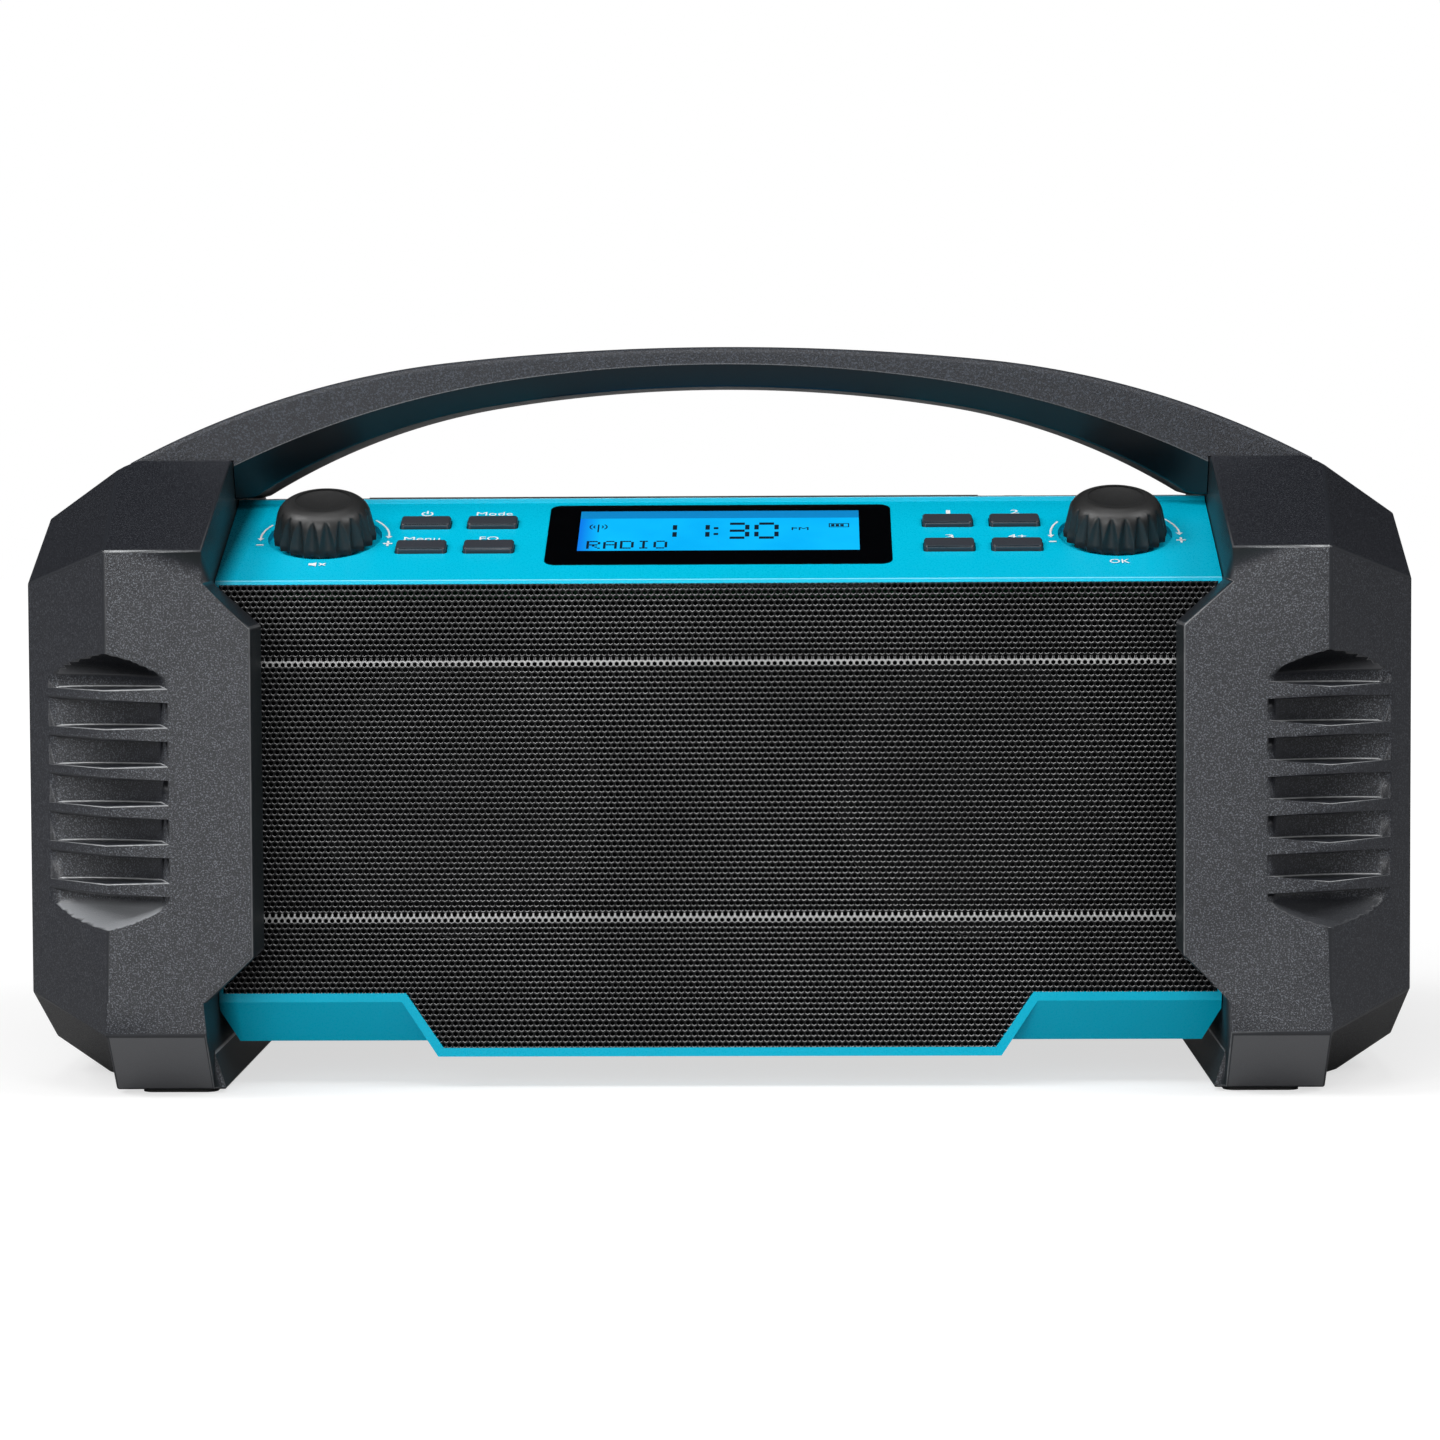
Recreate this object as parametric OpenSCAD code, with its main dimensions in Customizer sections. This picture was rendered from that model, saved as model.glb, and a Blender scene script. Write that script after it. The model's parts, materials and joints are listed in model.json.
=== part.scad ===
// Jobsite radio: a sloped control panel and a perforated grille between two
// moulded corner guards that an arched handle ties together.
// Millimetres. +X is the object's right seen from the front, +Y points to the
// back, +Z is up. The origin is the middle of the footprint, on the ground.

/* [Overall] */
// Width over the corner guards
overall_w = 350; // [340:1:370]
// Depth, front to back
overall_d = 164; // [160:1:176]

/* [Corner guards] */
// Width of one guard
guard_w = 47.4; // [46:0.2:49]
// Height of the guards' flat top
guard_top = 160.1; // [158:0.1:161]
// Height of the front face's top edge
face_top = 137.6; // [135:0.2:140]
// Height of the front face's bottom edge
face_bottom = 16.4; // [15:0.2:18]
// Height where the side starts to lean in at the top
side_top = 145; // [143:0.5:147]
// Height where the side starts to lean in at the bottom
side_bottom = 9.4; // [8:0.2:11]
// Size of the upright chamfer between front and side
corner_chamfer = 23; // [21:0.5:25]
// Distance from the side to the crest
crest_inset = 20.3; // [18:0.1:22]
// Width of the bevel between the crest and the flat top
crest_bevel = 2.9; // [2:0.1:4]
// How far the crest lies below the flat top
crest_drop = 1.3; // [0.5:0.1:2]
// Depth at which the sloped shoulder meets the upright side
shoulder_depth = 57.4; // [54:0.2:60]
// How far the shoulder edge falls along the upright chamfer
shoulder_drop = 8.5; // [7:0.5:10]
// Depth of the slanted toe at the bottom of the front
toe_depth = 15; // [13:0.5:17]
// Width of the foot under the guard
foot_w = 25; // [23:0.5:27]
// How far the foot flares under the cabinet
foot_flare = 3; // [1:0.5:4]
// How far the guard's frame reaches over the grille
frame_reach = 12; // [10:0.5:14]
// Depth of the frame in front of the grille
frame_depth = 22.3; // [20:0.1:24]
// Wall behind the guard's faces
guard_wall = 6.5; // [5:0.5:8]

/* [Grip scoops] */
// Middle height of the scoop
scoop_z = 77.4; // [75:0.2:80]
// Height of the scoop without its domed ends
scoop_h = 56.2; // [50:0.2:60]
// Rise of each domed end
scoop_dome = 6.5; // [5:0.5:7.5]
// Radius of the domed ends' curve
scoop_dome_r = 26; // [15:1:40]
// Width of the scoop on the front face
scoop_front_w = 15.8; // [14:0.2:17]
// Width of the scoop on the chamfer, measured across the object
scoop_side_w = 17.3; // [15:0.1:18]
// Radius of the scoop's floor
scoop_r = 60; // [50:1:80]
// Number of ribs in a scoop
rib_count = 6; // [5:1:6]
// Distance between ribs
rib_pitch = 9.68; // [9:0.02:10]
// Rib height at the front face
rib_h = 3.9; // [3:0.1:5]
// Rib height at its outer end
rib_tip_h = 2.4; // [1.5:0.1:3]

/* [Handle] */
// Height of the handle's crown
handle_crown = 189.1; // [187:0.1:194]
// Depth of the handle
handle_d = 42; // [36:1:46]
// Height of the textured front band at the crown
handle_band = 4.4; // [3:0.1:6]
// Height of the smooth facet under the band at the crown
handle_facet = 6; // [5:0.1:8]
// Lean of the smooth facet, in degrees
handle_facet_lean = 19; // [10:1:30]
// Thickness of the handle's ends
handle_end_t = 0.8; // [0.4:0.1:2]
// Distance of the handle's ends from the guards' crests
handle_inset = 0.3; // [0.2:0.1:3]

/* [Control panel] */
// Slope of the panel, in degrees
panel_slope = 21.5; // [20:0.5:23]
// Height of the panel's front lip
lip_z = 129.5; // [128:0.5:131]
// Length of the panel up the slope
panel_len = 52; // [51:0.5:54]
// Panel thickness
panel_t = 3.2; // [3:0.1:3.6]
// Height of the raised rim behind the panel
rim_h = 1.2; // [0.6:0.1:2]
// Distance of the knobs from the guards
knob_inset = 25.4; // [24:0.2:27]
// Knob centre, up the slope
knob_s = 29.1; // [27:0.1:30]
// Knob radius at its base
knob_r = 13.4; // [12.5:0.1:14]
// Knob height above the panel
knob_h = 10.3; // [9:0.1:12]
// Number of grooves round a knob
knob_flutes = 20; // [16:1:24]
// How far a knob can be pressed
knob_travel = 0.8; // [0.4:0.1:1]
// Button width
button_w = 12.9; // [12:0.1:13.5]
// Button length up the slope
button_l = 5.8; // [5:0.1:6.5]
// Button height above the panel
button_h = 1.3; // [1:0.1:1.8]
// How far a button can be pressed
button_travel = 0.8; // [0.4:0.1:1]
// Distance from a knob to the nearest button column
button_inset = 25.6; // [25:0.2:27]
// Distance between button columns
button_pitch_x = 17.4; // [17:0.1:18]
// Lower button row, up the slope
button_row_s = 20.9; // [20:0.1:22]
// Distance between button rows
button_pitch_s = 16.4; // [16:0.1:17]
// Distance between the display window and the buttons
window_gap = 8.25; // [7:0.25:10]
// Display window length up the slope
window_l = 40.4; // [39:0.1:41]
// Display window's lower edge, up the slope
window_s = 9.8; // [9.5:0.1:10.4]

/* [Cabinet] */
// Wall thickness of the cabinet
wall = 3; // [2.5:0.1:3.5]
// Height of the cabinet's underside
cab_bottom = 11.5; // [11:0.1:12.5]
// Height of the lower frame's top edge
frame_z = 24.4; // [23:0.2:26]
// Distance of the cabinet's back from the guards' back
cab_rear_inset = 5; // [4:0.5:6]
// Depth from the front where the front housing meets the rear cover
split_depth = 92; // [88:1:96]
// Width of the grille's tongue at the lower frame's top edge
tongue_w = 159.4; // [156:0.2:164]
// How much each side of the tongue leans in
tongue_lean = 9.5; // [8:0.5:11]
// Width of the coloured band round the tongue
band_w = 2.2; // [1.8:0.1:2.6]
// Height of the tongue's lower edge
tongue_z = 8.2; // [7.8:0.1:9]

/* [Grille and speakers] */
// Thickness of the perforated sheet
sheet_t = 1; // [0.8:0.1:1.2]
// Depth of the grille's two creases
crease_d = 1; // [0.8:0.1:1.2]
// Height of one crease
crease_h = 4.6; // [4:0.1:5.2]
// Lower edge of the upper crease
top_crease_z = 107.9; // [104:0.1:110]
// Lower edge of the lower crease
low_crease_z = 43.2; // [42:0.1:48]
// Distance of each speaker from the guards
speaker_inset = 61.6; // [58:0.2:64]
// Height of the speakers' axis
speaker_z = 74; // [72:1:76]
// Radius of the speaker openings
speaker_r = 36; // [32:1:38]

/* [Back] */
// Distance between the battery door and the socket cover's hinge
door_gap = 11.8; // [10:0.2:16]
// Height of the battery door
door_h = 68; // [64:1:72]
// Height of the door's hinge
hinge_z = 24; // [23.5:0.5:26]
// Width of the socket cover
flap_w = 44; // [42:1:46]
// Height of the socket cover
flap_h = 22; // [21:1:24]
// Middle height of the sockets
socket_z = 52; // [48:1:60]

/* [Antenna] */
// Radius of the thickest tube
mast_r = 3.2; // [3:0.1:3.3]
// Length of the thickest tube
mast_l = 172; // [150:1:176]
// Tube wall
mast_wall = 0.5; // [0.4:0.05:0.5]
// How far each tube draws out
mast_draw = 140; // [100:1:145]

/* [Fits] */
// Gap round a moving piece
gap = 0.3; // [0.2:0.05:0.4]
// Radial clearance of a shaft in its hole
run = 0.05; // [0.03:0.01:0.08]
// Screw shank radius
screw_r = 1.6; // [1.4:0.1:1.8]

/* [Hidden] */

$fn = 64;
big = 600;
eps = 0.01;

front_y = -overall_d / 2;
rear_y = overall_d / 2;
half_w = overall_w / 2;
guard_in = half_w - guard_w;         // inner face of a guard
face_x = half_w - corner_chamfer;    // outer edge of a guard's front face
crest_x = half_w - crest_inset;      // outer edge of a guard's top
crest_z = guard_top - crest_drop;
shoulder_y = front_y + (guard_top - face_top) / tan(panel_slope);
ground_t = 1;                        // how far the foot pads stand out

cab_half = guard_in - gap;
lip_y = front_y + frame_depth;
rim_y = lip_y + panel_len * cos(panel_slope);
rim_z = lip_z + panel_len * sin(panel_slope);
cab_top = rim_z + rim_h;
cab_rear = rear_y - cab_rear_inset;
split_y = front_y + split_depth;
slant_run = 6.7;                     // how far the lower frame's face runs in
band_bottom = frame_z - band_w;
end_lean = 4.4;                      // lean of the lower frame's ends
lip_bevel = 1;
grille_set = 0.4;                    // the sheet lies this far behind the lip
crease_fall = 1.7;                   // height of a crease's lower, steeper side
rebate_d = crease_d + grille_set + sheet_t;        // depth of the grille's seat
baffle_t = 3;
grille_border = 1;                   // housing left at each end of the grille

ledge_depth = 10;                    // shelf for the folded antenna
ledge_z = 140.5;
mast_y = cab_rear - ledge_depth / 2;
mast_z = ledge_z + 3.1 + mast_r;
elbow_x = -(guard_in - 21.6);
mast_x = elbow_x + 5;
rest_x = mast_x + mast_l - 11;

handle_half = crest_x - handle_inset;
knob_x = guard_in - knob_inset;
button_out_x = knob_x - button_inset;
button_in_x = button_out_x - button_pitch_x;
window_w = 2 * (button_in_x - button_w / 2 - window_gap);
speaker_x = guard_in - speaker_inset;
knob_seat = 2;                       // depth of the knob's recess
knob_gap = 1.35;                     // ring between knob and recess
knob_foot = 0.6;                     // upright band at the knob's foot
shaft_r = 3;
bush_r = 4.2;
board_h = -8;                        // board's upper face, from the panel's
board_t = 1.6;
board_s = 8;                         // board's lower edge, up the slope
post_r = 3;
board_screw_r = 1.2;
board_screw_l = 4.5;
board_head_t = 1.4;

window_t = 1.7;
window_r = 3;
lcd_w = window_w - 13;
lcd_l = window_l - 9.4;
lcd_s = window_s + window_l / 2 + 2;
lcd_t = 2.4;
lcd_rim = 3;                         // how far the holder stands out round the display

flap_x = guard_in - flap_w / 2 - 9.6;
flap_hinge_x = flap_x - flap_w / 2 - 2.2;
door_w = 2 * (flap_hinge_x - door_gap);
door_z = hinge_z + 4 + door_h / 2;
tray_w = door_w + 4;
tray_h = door_h + 4;
tray_wall = 2;
tray_d = 48;
tray_y = cab_rear - wall;
pin_r = 1.2;
knuckle_r = 2.6;
hinge_y = cab_rear + 0.4;
flap_t = 2;
flap_hinge_y = cab_rear + 0.6;
flap_pin_r = 0.9;
socket_seat = 8;
dc_x = flap_x - 12;
aux_x = flap_x;
usb_x = flap_x + 11.5;
dc_r = 5.5;
aux_r = 3.6;
usb_size = [14, 6.6];
jack_back = 12;                      // how far the sockets reach in
jack_front_y = cab_rear - socket_seat + 1;
seal_t = 1;
lug_t = 6;
hinge_half = door_w / 2 - 8;
knuckle_l = 14;
door_knuckle_x = hinge_half - knuckle_l - 0.4;
// The cover's knuckles, and the door's between them
hinge_spans = [[-hinge_half, -hinge_half + knuckle_l], [-8, 8],
               [hinge_half - knuckle_l, hinge_half]];
door_spans = [[-door_knuckle_x, -door_knuckle_x + knuckle_l],
              [door_knuckle_x - knuckle_l, door_knuckle_x]];
flap_cover_spans = [[-9, -5.4], [5.4, 9]];

// ---------- helpers ----------

// A flat outline in X and Z, given depth from y0 to y1
module along_y(y0, y1) {
    translate([0, y1, 0]) rotate([90, 0, 0]) linear_extrude(y1 - y0) children();
}

// A flat outline in Y and Z, given width from x0 to x1
module along_x(x0, x1) {
    translate([x0, 0, 0]) rotate([90, 0, 90]) linear_extrude(x1 - x0) children();
}

// A place on the sloped panel: x across, s up the slope, h above it
module on_panel(x, s, h = 0) {
    translate([0, lip_y, lip_z]) rotate([panel_slope, 0, 0])
        translate([x, s, h]) children();
}

module both_sides() {
    children();
    mirror([1, 0, 0]) children();
}

module front_and_back() {
    children();
    mirror([0, 1, 0]) children();
}

module rounded(w, l, r) {
    square([w - 2 * r, l], center = true);
    square([w, l - 2 * r], center = true);
    for (x = [-1, 1], y = [-1, 1])
        translate([x * (w / 2 - r), y * (l / 2 - r)]) circle(r);
}

// Everything on the side of a plane that its normal points to
module beyond(p, n) {
    translate(p)
        rotate([0, acos(n.z / norm(n)), atan2(n.y, n.x)])
            translate([-big / 2, -big / 2, 0]) cube(big);
}

// A solid through a list of rings with the same number of points
module loft(rings) {
    n = len(rings[0]);
    m = len(rings);
    polyhedron(
        points = [for (r = rings) each r],
        faces = concat(
            [[for (i = [0 : n - 1]) i]],
            [for (j = [0 : m - 2], i = [0 : n - 1])
                [j * n + i, (j + 1) * n + i, (j + 1) * n + (i + 1) % n, j * n + (i + 1) % n]],
            [[for (i = [n - 1 : -1 : 0]) (m - 1) * n + i]]));
}

// Pan-head screw along +Z: its head's underside lies at z = 0
module screw(shank_l, head_r = 3, head_h = 2) {
    difference() {
        union() {
            translate([0, 0, -head_h]) cylinder(r = screw_r, h = head_h + shank_l);
            translate([0, 0, -head_h]) cylinder(r = head_r, h = head_h);
        }
        for (a = [0, 90]) rotate(a)
            translate([-head_r * 0.6, -0.35, -head_h - eps]) cube([head_r * 1.2, 0.7, 1]);
    }
}

// ---------- corner guards ----------

module guard_front_outline() {
    polygon([
        [guard_in, ground_t], [half_w - 15.8, ground_t], [half_w, side_bottom],
        [half_w, side_top], [crest_x, crest_z], [crest_x - crest_bevel, guard_top],
        [guard_in, guard_top]]);
}

module guard_side_outline() {
    polygon([
        [front_y, face_bottom], [front_y, face_top], [shoulder_y, guard_top],
        [-shoulder_y, guard_top], [rear_y, face_top], [rear_y, face_bottom],
        [rear_y - toe_depth, ground_t], [front_y + toe_depth, ground_t]]);
}

module guard_plan_outline() {
    polygon([
        [guard_in, front_y], [face_x, front_y], [half_w, front_y + corner_chamfer],
        [half_w, rear_y - corner_chamfer], [face_x, rear_y], [guard_in, rear_y]]);
}

module guard_corner_cuts() {
    top_a = [face_x, front_y, face_top];
    top_b = [half_w, front_y + corner_chamfer, face_top - shoulder_drop];
    top_c = [half_w, front_y + shoulder_depth, side_top];
    low_a = [face_x, front_y, face_bottom];
    low_b = [half_w, front_y + corner_chamfer, face_bottom + shoulder_drop];
    low_c = [half_w, front_y + shoulder_depth, side_bottom];
    front_and_back() {
        beyond(top_a, cross(top_b - top_a, top_c - top_a));
        beyond(low_a, cross(low_c - low_a, low_b - low_a));
    }
}

// The foot stands in front of the slanted corner
module guard_foot() {
    along_x(guard_in, guard_in + foot_w)
        intersection() {
            guard_side_outline();
            translate([front_y, 0]) square([overall_d, face_bottom + shoulder_drop]);
        }
    along_y(front_y + toe_depth, rear_y - toe_depth)
        polygon([
            [guard_in + 1, ground_t], [guard_in - foot_flare, ground_t],
            [guard_in, cab_bottom - 1], [guard_in + 1, cab_bottom - 1]]);
}

// The frame that reaches over the grille's ends
module guard_frame() {
    reach_low = frame_z + 0.2;
    reach_high = lip_z - 0.5;
    along_y(front_y, lip_y - gap)
        polygon([
            [guard_in + 1, reach_low], [guard_in, reach_low],
            [guard_in - frame_reach, reach_low + frame_reach * 0.95],
            [guard_in - frame_reach, reach_high - frame_reach * 0.9],
            [guard_in, reach_high], [guard_in + 1, reach_high]]);
}

// The space inside the guard, open towards the cabinet
module guard_cavity() {
    inner = guard_wall;
    slope_wall = inner / cos(panel_slope);
    flat_y = -shoulder_y - (slope_wall - inner) / tan(panel_slope);
    intersection() {
        linear_extrude(guard_top)
            polygon([
                [guard_in - 1, front_y + 2.5 * inner], [face_x - 2, front_y + 2.5 * inner],
                [half_w - inner, front_y + corner_chamfer + 2 * inner],
                [half_w - inner, rear_y - corner_chamfer - 2 * inner],
                [face_x - 2, rear_y - 2.5 * inner], [guard_in - 1, rear_y - 2.5 * inner]]);
        along_y(front_y, rear_y)
            polygon([
                [guard_in - 1, side_bottom + inner], [crest_x, side_bottom + inner],
                [half_w - inner, side_bottom + 2 * inner], [half_w - inner, side_top - inner],
                [crest_x - inner, guard_top - inner], [guard_in - 1, guard_top - inner]]);
        along_x(guard_in - 1, half_w)
            polygon([
                [front_y, face_bottom + inner], [front_y, face_top - slope_wall],
                [-flat_y, guard_top - inner], [flat_y, guard_top - inner],
                [rear_y, face_top - slope_wall], [rear_y, face_bottom + inner]]);
        union() {
            translate([guard_in - 1, front_y, face_bottom + inner])
                cube([foot_w, overall_d, guard_top]);
            translate([guard_in - 1, front_y + shoulder_depth, 0])
                cube([guard_w, overall_d - 2 * shoulder_depth, guard_top]);
            translate([guard_in - 1, front_y, face_bottom + shoulder_drop + inner])
                cube([guard_w, overall_d, face_top - face_bottom - 2 * (shoulder_drop + inner)]);
        }
        // The inner wall is open only where the cabinet covers it
        union() {
            translate([guard_in + guard_side_wall, front_y, 0])
                cube([guard_w, overall_d, guard_top]);
            along_x(guard_in - 1, guard_in + guard_side_wall + 1) cab_side_inside();
        }
    }
}

// The scoop's floor is a tall cylinder whose ends are domed
scoop_a = [face_x - scoop_front_w, front_y];
scoop_b = [face_x + scoop_side_w, front_y + scoop_side_w];
scoop_chord = scoop_b - scoop_a;
scoop_out = [scoop_chord.y, -scoop_chord.x] / norm(scoop_chord);
scoop_axis = (scoop_a + scoop_b) / 2
    + scoop_out * sqrt(pow(scoop_r, 2) - pow(norm(scoop_chord) / 2, 2));
scoop_near = norm(scoop_axis - [face_x, front_y]);
dome_run = scoop_r - scoop_near;
// The domes' curve runs through their tip at the corner and the ends of the floor
dome_chord = norm([dome_run, scoop_dome]);
dome_back = sqrt(pow(scoop_dome_r, 2) - pow(dome_chord / 2, 2));
dome_centre = [scoop_near + scoop_r, scoop_h + scoop_dome] / 2
    - [scoop_dome, dome_run] / dome_chord * dome_back;

module scoop_half_profile() {
    square([scoop_r, scoop_h / 2]);
    intersection() {
        translate([scoop_near - 1, scoop_h / 2 - eps]) square([dome_run + 1, scoop_dome + 1]);
        translate(dome_centre) circle(scoop_dome_r, $fn = 180);
    }
}

module scoop() {
    translate([scoop_axis.x, scoop_axis.y, scoop_z])
        rotate_extrude($fn = 180) {
            scoop_half_profile();
            mirror([0, 1]) scoop_half_profile();
        }
}

module scoop_ribs() {
    for (i = [0 : rib_count - 1]) {
        z = scoop_z + (i - (rib_count - 1) / 2) * rib_pitch;
        along_y(front_y - 1, front_y + 2 * corner_chamfer)
            polygon([
                [scoop_a.x - 2, z - rib_h / 2], [scoop_b.x + 2, z - rib_tip_h / 2],
                [scoop_b.x + 2, z + rib_tip_h / 2], [scoop_a.x - 2, z + rib_h / 2]]);
    }
}

guard_side_wall = 3;
guard_screw_x = guard_in + 12;
guard_screw_seat = 9;                        // depth of the screw heads' seats
guard_screw_z = [46, 122];
guard_rear_in = rear_y - 2.5 * guard_wall;   // inside of the guard's back wall

// Two handle screws a side, in line front to back
handle_screw_x = guard_in + 11;
handle_screw_y = handle_d / 2 - 9;

module at_handle_screws() {
    both_sides() for (y = [-1, 1])
        translate([handle_screw_x, y * handle_screw_y, guard_top - guard_wall]) children();
}

module at_guard_screws() {
    both_sides() for (z = guard_screw_z)
        translate([guard_screw_x, 0, z]) children();
}

module guard() {
    color([0.22, 0.23, 0.25])
    difference() {
        union() {
            difference() {
                intersection() {
                    along_y(front_y, rear_y) guard_front_outline();
                    along_x(guard_in, half_w) guard_side_outline();
                    linear_extrude(guard_top) guard_plan_outline();
                }
                guard_corner_cuts();
            }
            guard_foot();
            guard_frame();
        }
        difference() {
            scoop();
            scoop_ribs();
        }
        guard_cavity();
        for (z = guard_screw_z)
            translate([guard_screw_x, rear_y + eps, z]) rotate([90, 0, 0]) {
                cylinder(r = 4, h = guard_screw_seat + eps);
                cylinder(r = screw_r + run, h = 3 * guard_wall);
            }
        for (y = [-1, 1])
            translate([handle_screw_x, y * handle_screw_y, guard_top - 2 * guard_wall])
                cylinder(r = screw_r + run, h = 3 * guard_wall);
        translate([0, 0, -1]) foot_pad_shape(pad_t + 1, 0.1);
    }
}

module right_guard() { guard(); }
module left_guard() { mirror([1, 0, 0]) guard(); }

pad_t = 2.5;

module foot_pad_shape(h = pad_t, grow = 0) {
    translate([guard_in + foot_w / 2 - 3.2, 0, 0])
        linear_extrude(h)
            rounded(foot_w - 6 + 2 * grow, overall_d - 2 * toe_depth - 4 + 2 * grow, 3);
}

module foot_pads() {
    color([0.12, 0.12, 0.13])
    both_sides() foot_pad_shape();
}

module guard_screws() {
    color("silver")
    at_guard_screws() translate([0, rear_y - guard_screw_seat, 0]) rotate([90, 0, 0]) screw(14);
}

// ---------- handle ----------

// The handle's lines are three-centred arches: a flat middle arc and two
// tighter ends, [middle radius, end radius, where they join], drawn for
// handle_span and stretched to the width between the guards
handle_span = 350;
top_arch = [680, 235, 70];
edge_arch = [383, 251, 55];
low_arch = [376, 170, 60];
edge_round = 1.9;                    // how far the top edge's rounding reaches down

// How far an arch lies below its crown
function fall(x, arch) =
    let (u = abs(x) * handle_span / overall_w,
         a = asin(arch[2] / arch[0]),
         r = arch[0] - arch[1])
    u <= arch[2] ? arch[0] - sqrt(pow(arch[0], 2) - pow(u, 2))
                 : arch[0] - r * cos(a) - sqrt(pow(arch[1], 2) - pow(u - r * sin(a), 2));

// The top comes down to the guards' crests
top_fall = (handle_crown - crest_z - handle_end_t) / fall(handle_half, top_arch);

function handle_top(x) = handle_crown - fall(x, top_arch) * top_fall;
function handle_edge(x) = handle_crown - handle_band - fall(x, edge_arch);
function handle_low(x) =
    max(handle_crown - handle_band - handle_facet - fall(x, low_arch), cab_top + gap);

// One half of the handle's section, from the middle of the top round to the
// middle of the underside; the other half is its mirror image
function handle_half_section(x) =
    let (f = -handle_d / 2, t = handle_top(x), e = handle_edge(x), l = handle_low(x),
         run_in = f + 1 + (e - l) * tan(handle_facet_lean))
    [[f + 6, t], [f + 1.6, t - 0.2], [f + 0.5, t - 0.8], [f, t - edge_round],
     [f, e + 1], [f + 0.3, e + 0.2], [f + 1, e - 0.5],
     [run_in, l + 0.4], [run_in + 1.5, l]];

function handle_section(x) =
    let (h = handle_half_section(x))
    [for (p = h) [x, p[0], p[1]], for (i = [len(h) - 1 : -1 : 0]) [x, -h[i][0], h[i][1]]];

module handle() {
    stations = 48;
    bar_half = guard_in - gap;
    color([0.2, 0.21, 0.23])
    difference() {
        union() {
            loft([for (i = [0 : stations])
                handle_section(bar_half * (2 * i / stations - 1))]);
            both_sides() handle_seat();
        }
        both_sides() for (y = [-1, 1])
            translate([handle_screw_x, y * handle_screw_y, guard_top - 1])
                cylinder(r = screw_r + run, h = 7);
    }
}

// The end that lies on the guard's top and its bevel, and thins out with them
module handle_seat() {
    stations = 8;
    start = guard_in - gap - eps;
    turn = crest_x - crest_bevel;
    flat = [for (i = [0 : stations]) start + (turn - start) * i / stations];
    loft([for (x = concat(flat, [(turn + handle_half) / 2, handle_half]))
        let (foot = guard_top - max(0, x - turn) * crest_drop / crest_bevel,
             full = handle_half_section(x),
             top = full[0][1],
             thin = min(1, (top - foot) / (edge_round + 0.5)),
             h = concat([for (k = [0 : 3]) [full[k][0], top - (top - full[k][1]) * thin]],
                        [[-handle_d / 2, foot]]))
        concat([for (p = h) [x, p[0], p[1]]],
               [for (k = [len(h) - 1 : -1 : 0]) [x, -h[k][0], h[k][1]]])]);
}

module handle_screws() {
    color("silver")
    at_handle_screws() screw(11);
}

// ---------- cabinet ----------

module cab_front_outline(inset = 0) {
    polygon([
        [-cab_half + inset, frame_z - end_lean], [-cab_half + inset, cab_top - inset],
        [cab_half - inset, cab_top - inset], [cab_half - inset, frame_z - end_lean],
        [cab_half - end_lean - inset, cab_bottom + inset],
        [-cab_half + end_lean + inset, cab_bottom + inset]]);
}

// Side view of the outside
module cab_side_outline() {
    polygon([
        [lip_y + slant_run, cab_bottom], [lip_y, band_bottom],
        [lip_y, lip_z - lip_bevel], [lip_y + lip_bevel * 0.7, lip_z],
        [rim_y, rim_z], [rim_y + 0.8, cab_top],
        [cab_rear - ledge_depth, cab_top], [cab_rear - ledge_depth, ledge_z],
        [cab_rear, ledge_z], [cab_rear, cab_bottom]]);
}

// Side view of the inside
module cab_side_inside() {
    under = panel_t / cos(panel_slope);
    in_y = lip_y + rebate_d;
    polygon([
        [in_y + slant_run, cab_bottom + wall], [in_y, band_bottom + wall],
        [in_y, lip_z - under + rebate_d * tan(panel_slope)],
        [rim_y, rim_z - under], [rim_y, cab_top - wall],
        [cab_rear - ledge_depth - wall, cab_top - wall],
        [cab_rear - ledge_depth - wall, ledge_z - wall],
        [cab_rear - wall, ledge_z - wall], [cab_rear - wall, cab_bottom + wall]]);
}

module cab_solid() {
    intersection() {
        along_y(lip_y, cab_rear) cab_front_outline();
        along_x(-cab_half, cab_half) cab_side_outline();
    }
}

module cab_hollow() {
    intersection() {
        along_y(lip_y, cab_rear) cab_front_outline(wall);
        along_x(-cab_half, cab_half) cab_side_inside();
    }
}

// Outline of the visible grille; grow = 0 is the opening in the housing
module grille_outline(grow = 0) {
    x = cab_half - grille_border + grow;
    a = tongue_w / 2 + grow;
    b = a - tongue_lean;
    low = tongue_z + band_w - grow;
    high = lip_z - 1.1 + grow;
    polygon([
        [-x, frame_z - grow], [-x, high], [x, high], [x, frame_z - grow],
        [a, frame_z - grow], [b, low], [-b, low], [-a, frame_z - grow]]);
}

// The tongue's coloured rim
module tongue_outline() {
    a = tongue_w / 2 + band_w;
    b = a - tongue_lean - 0.8;
    polygon([
        [-a, frame_z - 0.5], [a, frame_z - 0.5], [b, tongue_z], [-b, tongue_z]]);
}

module button_hole(x, s) {
    on_panel(x, s, -panel_t - 1)
        linear_extrude(panel_t + 2) rounded(button_w + 2 * gap, button_l + 2 * gap, 1);
}

button_cols = [-button_out_x, -button_in_x, button_in_x, button_out_x];
button_rows = [button_row_s, button_row_s + button_pitch_s];

// Screw bosses that join the two halves of the cabinet
boss_r = 4;
boss_x = cab_half - wall - boss_r + 0.5;
boss_zs = [cab_bottom + wall + boss_r + 4, ledge_z - wall - boss_r + 0.5];
boss_l = 16;
boss_floor = seal_t + 4;             // where the screw heads sit

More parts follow.
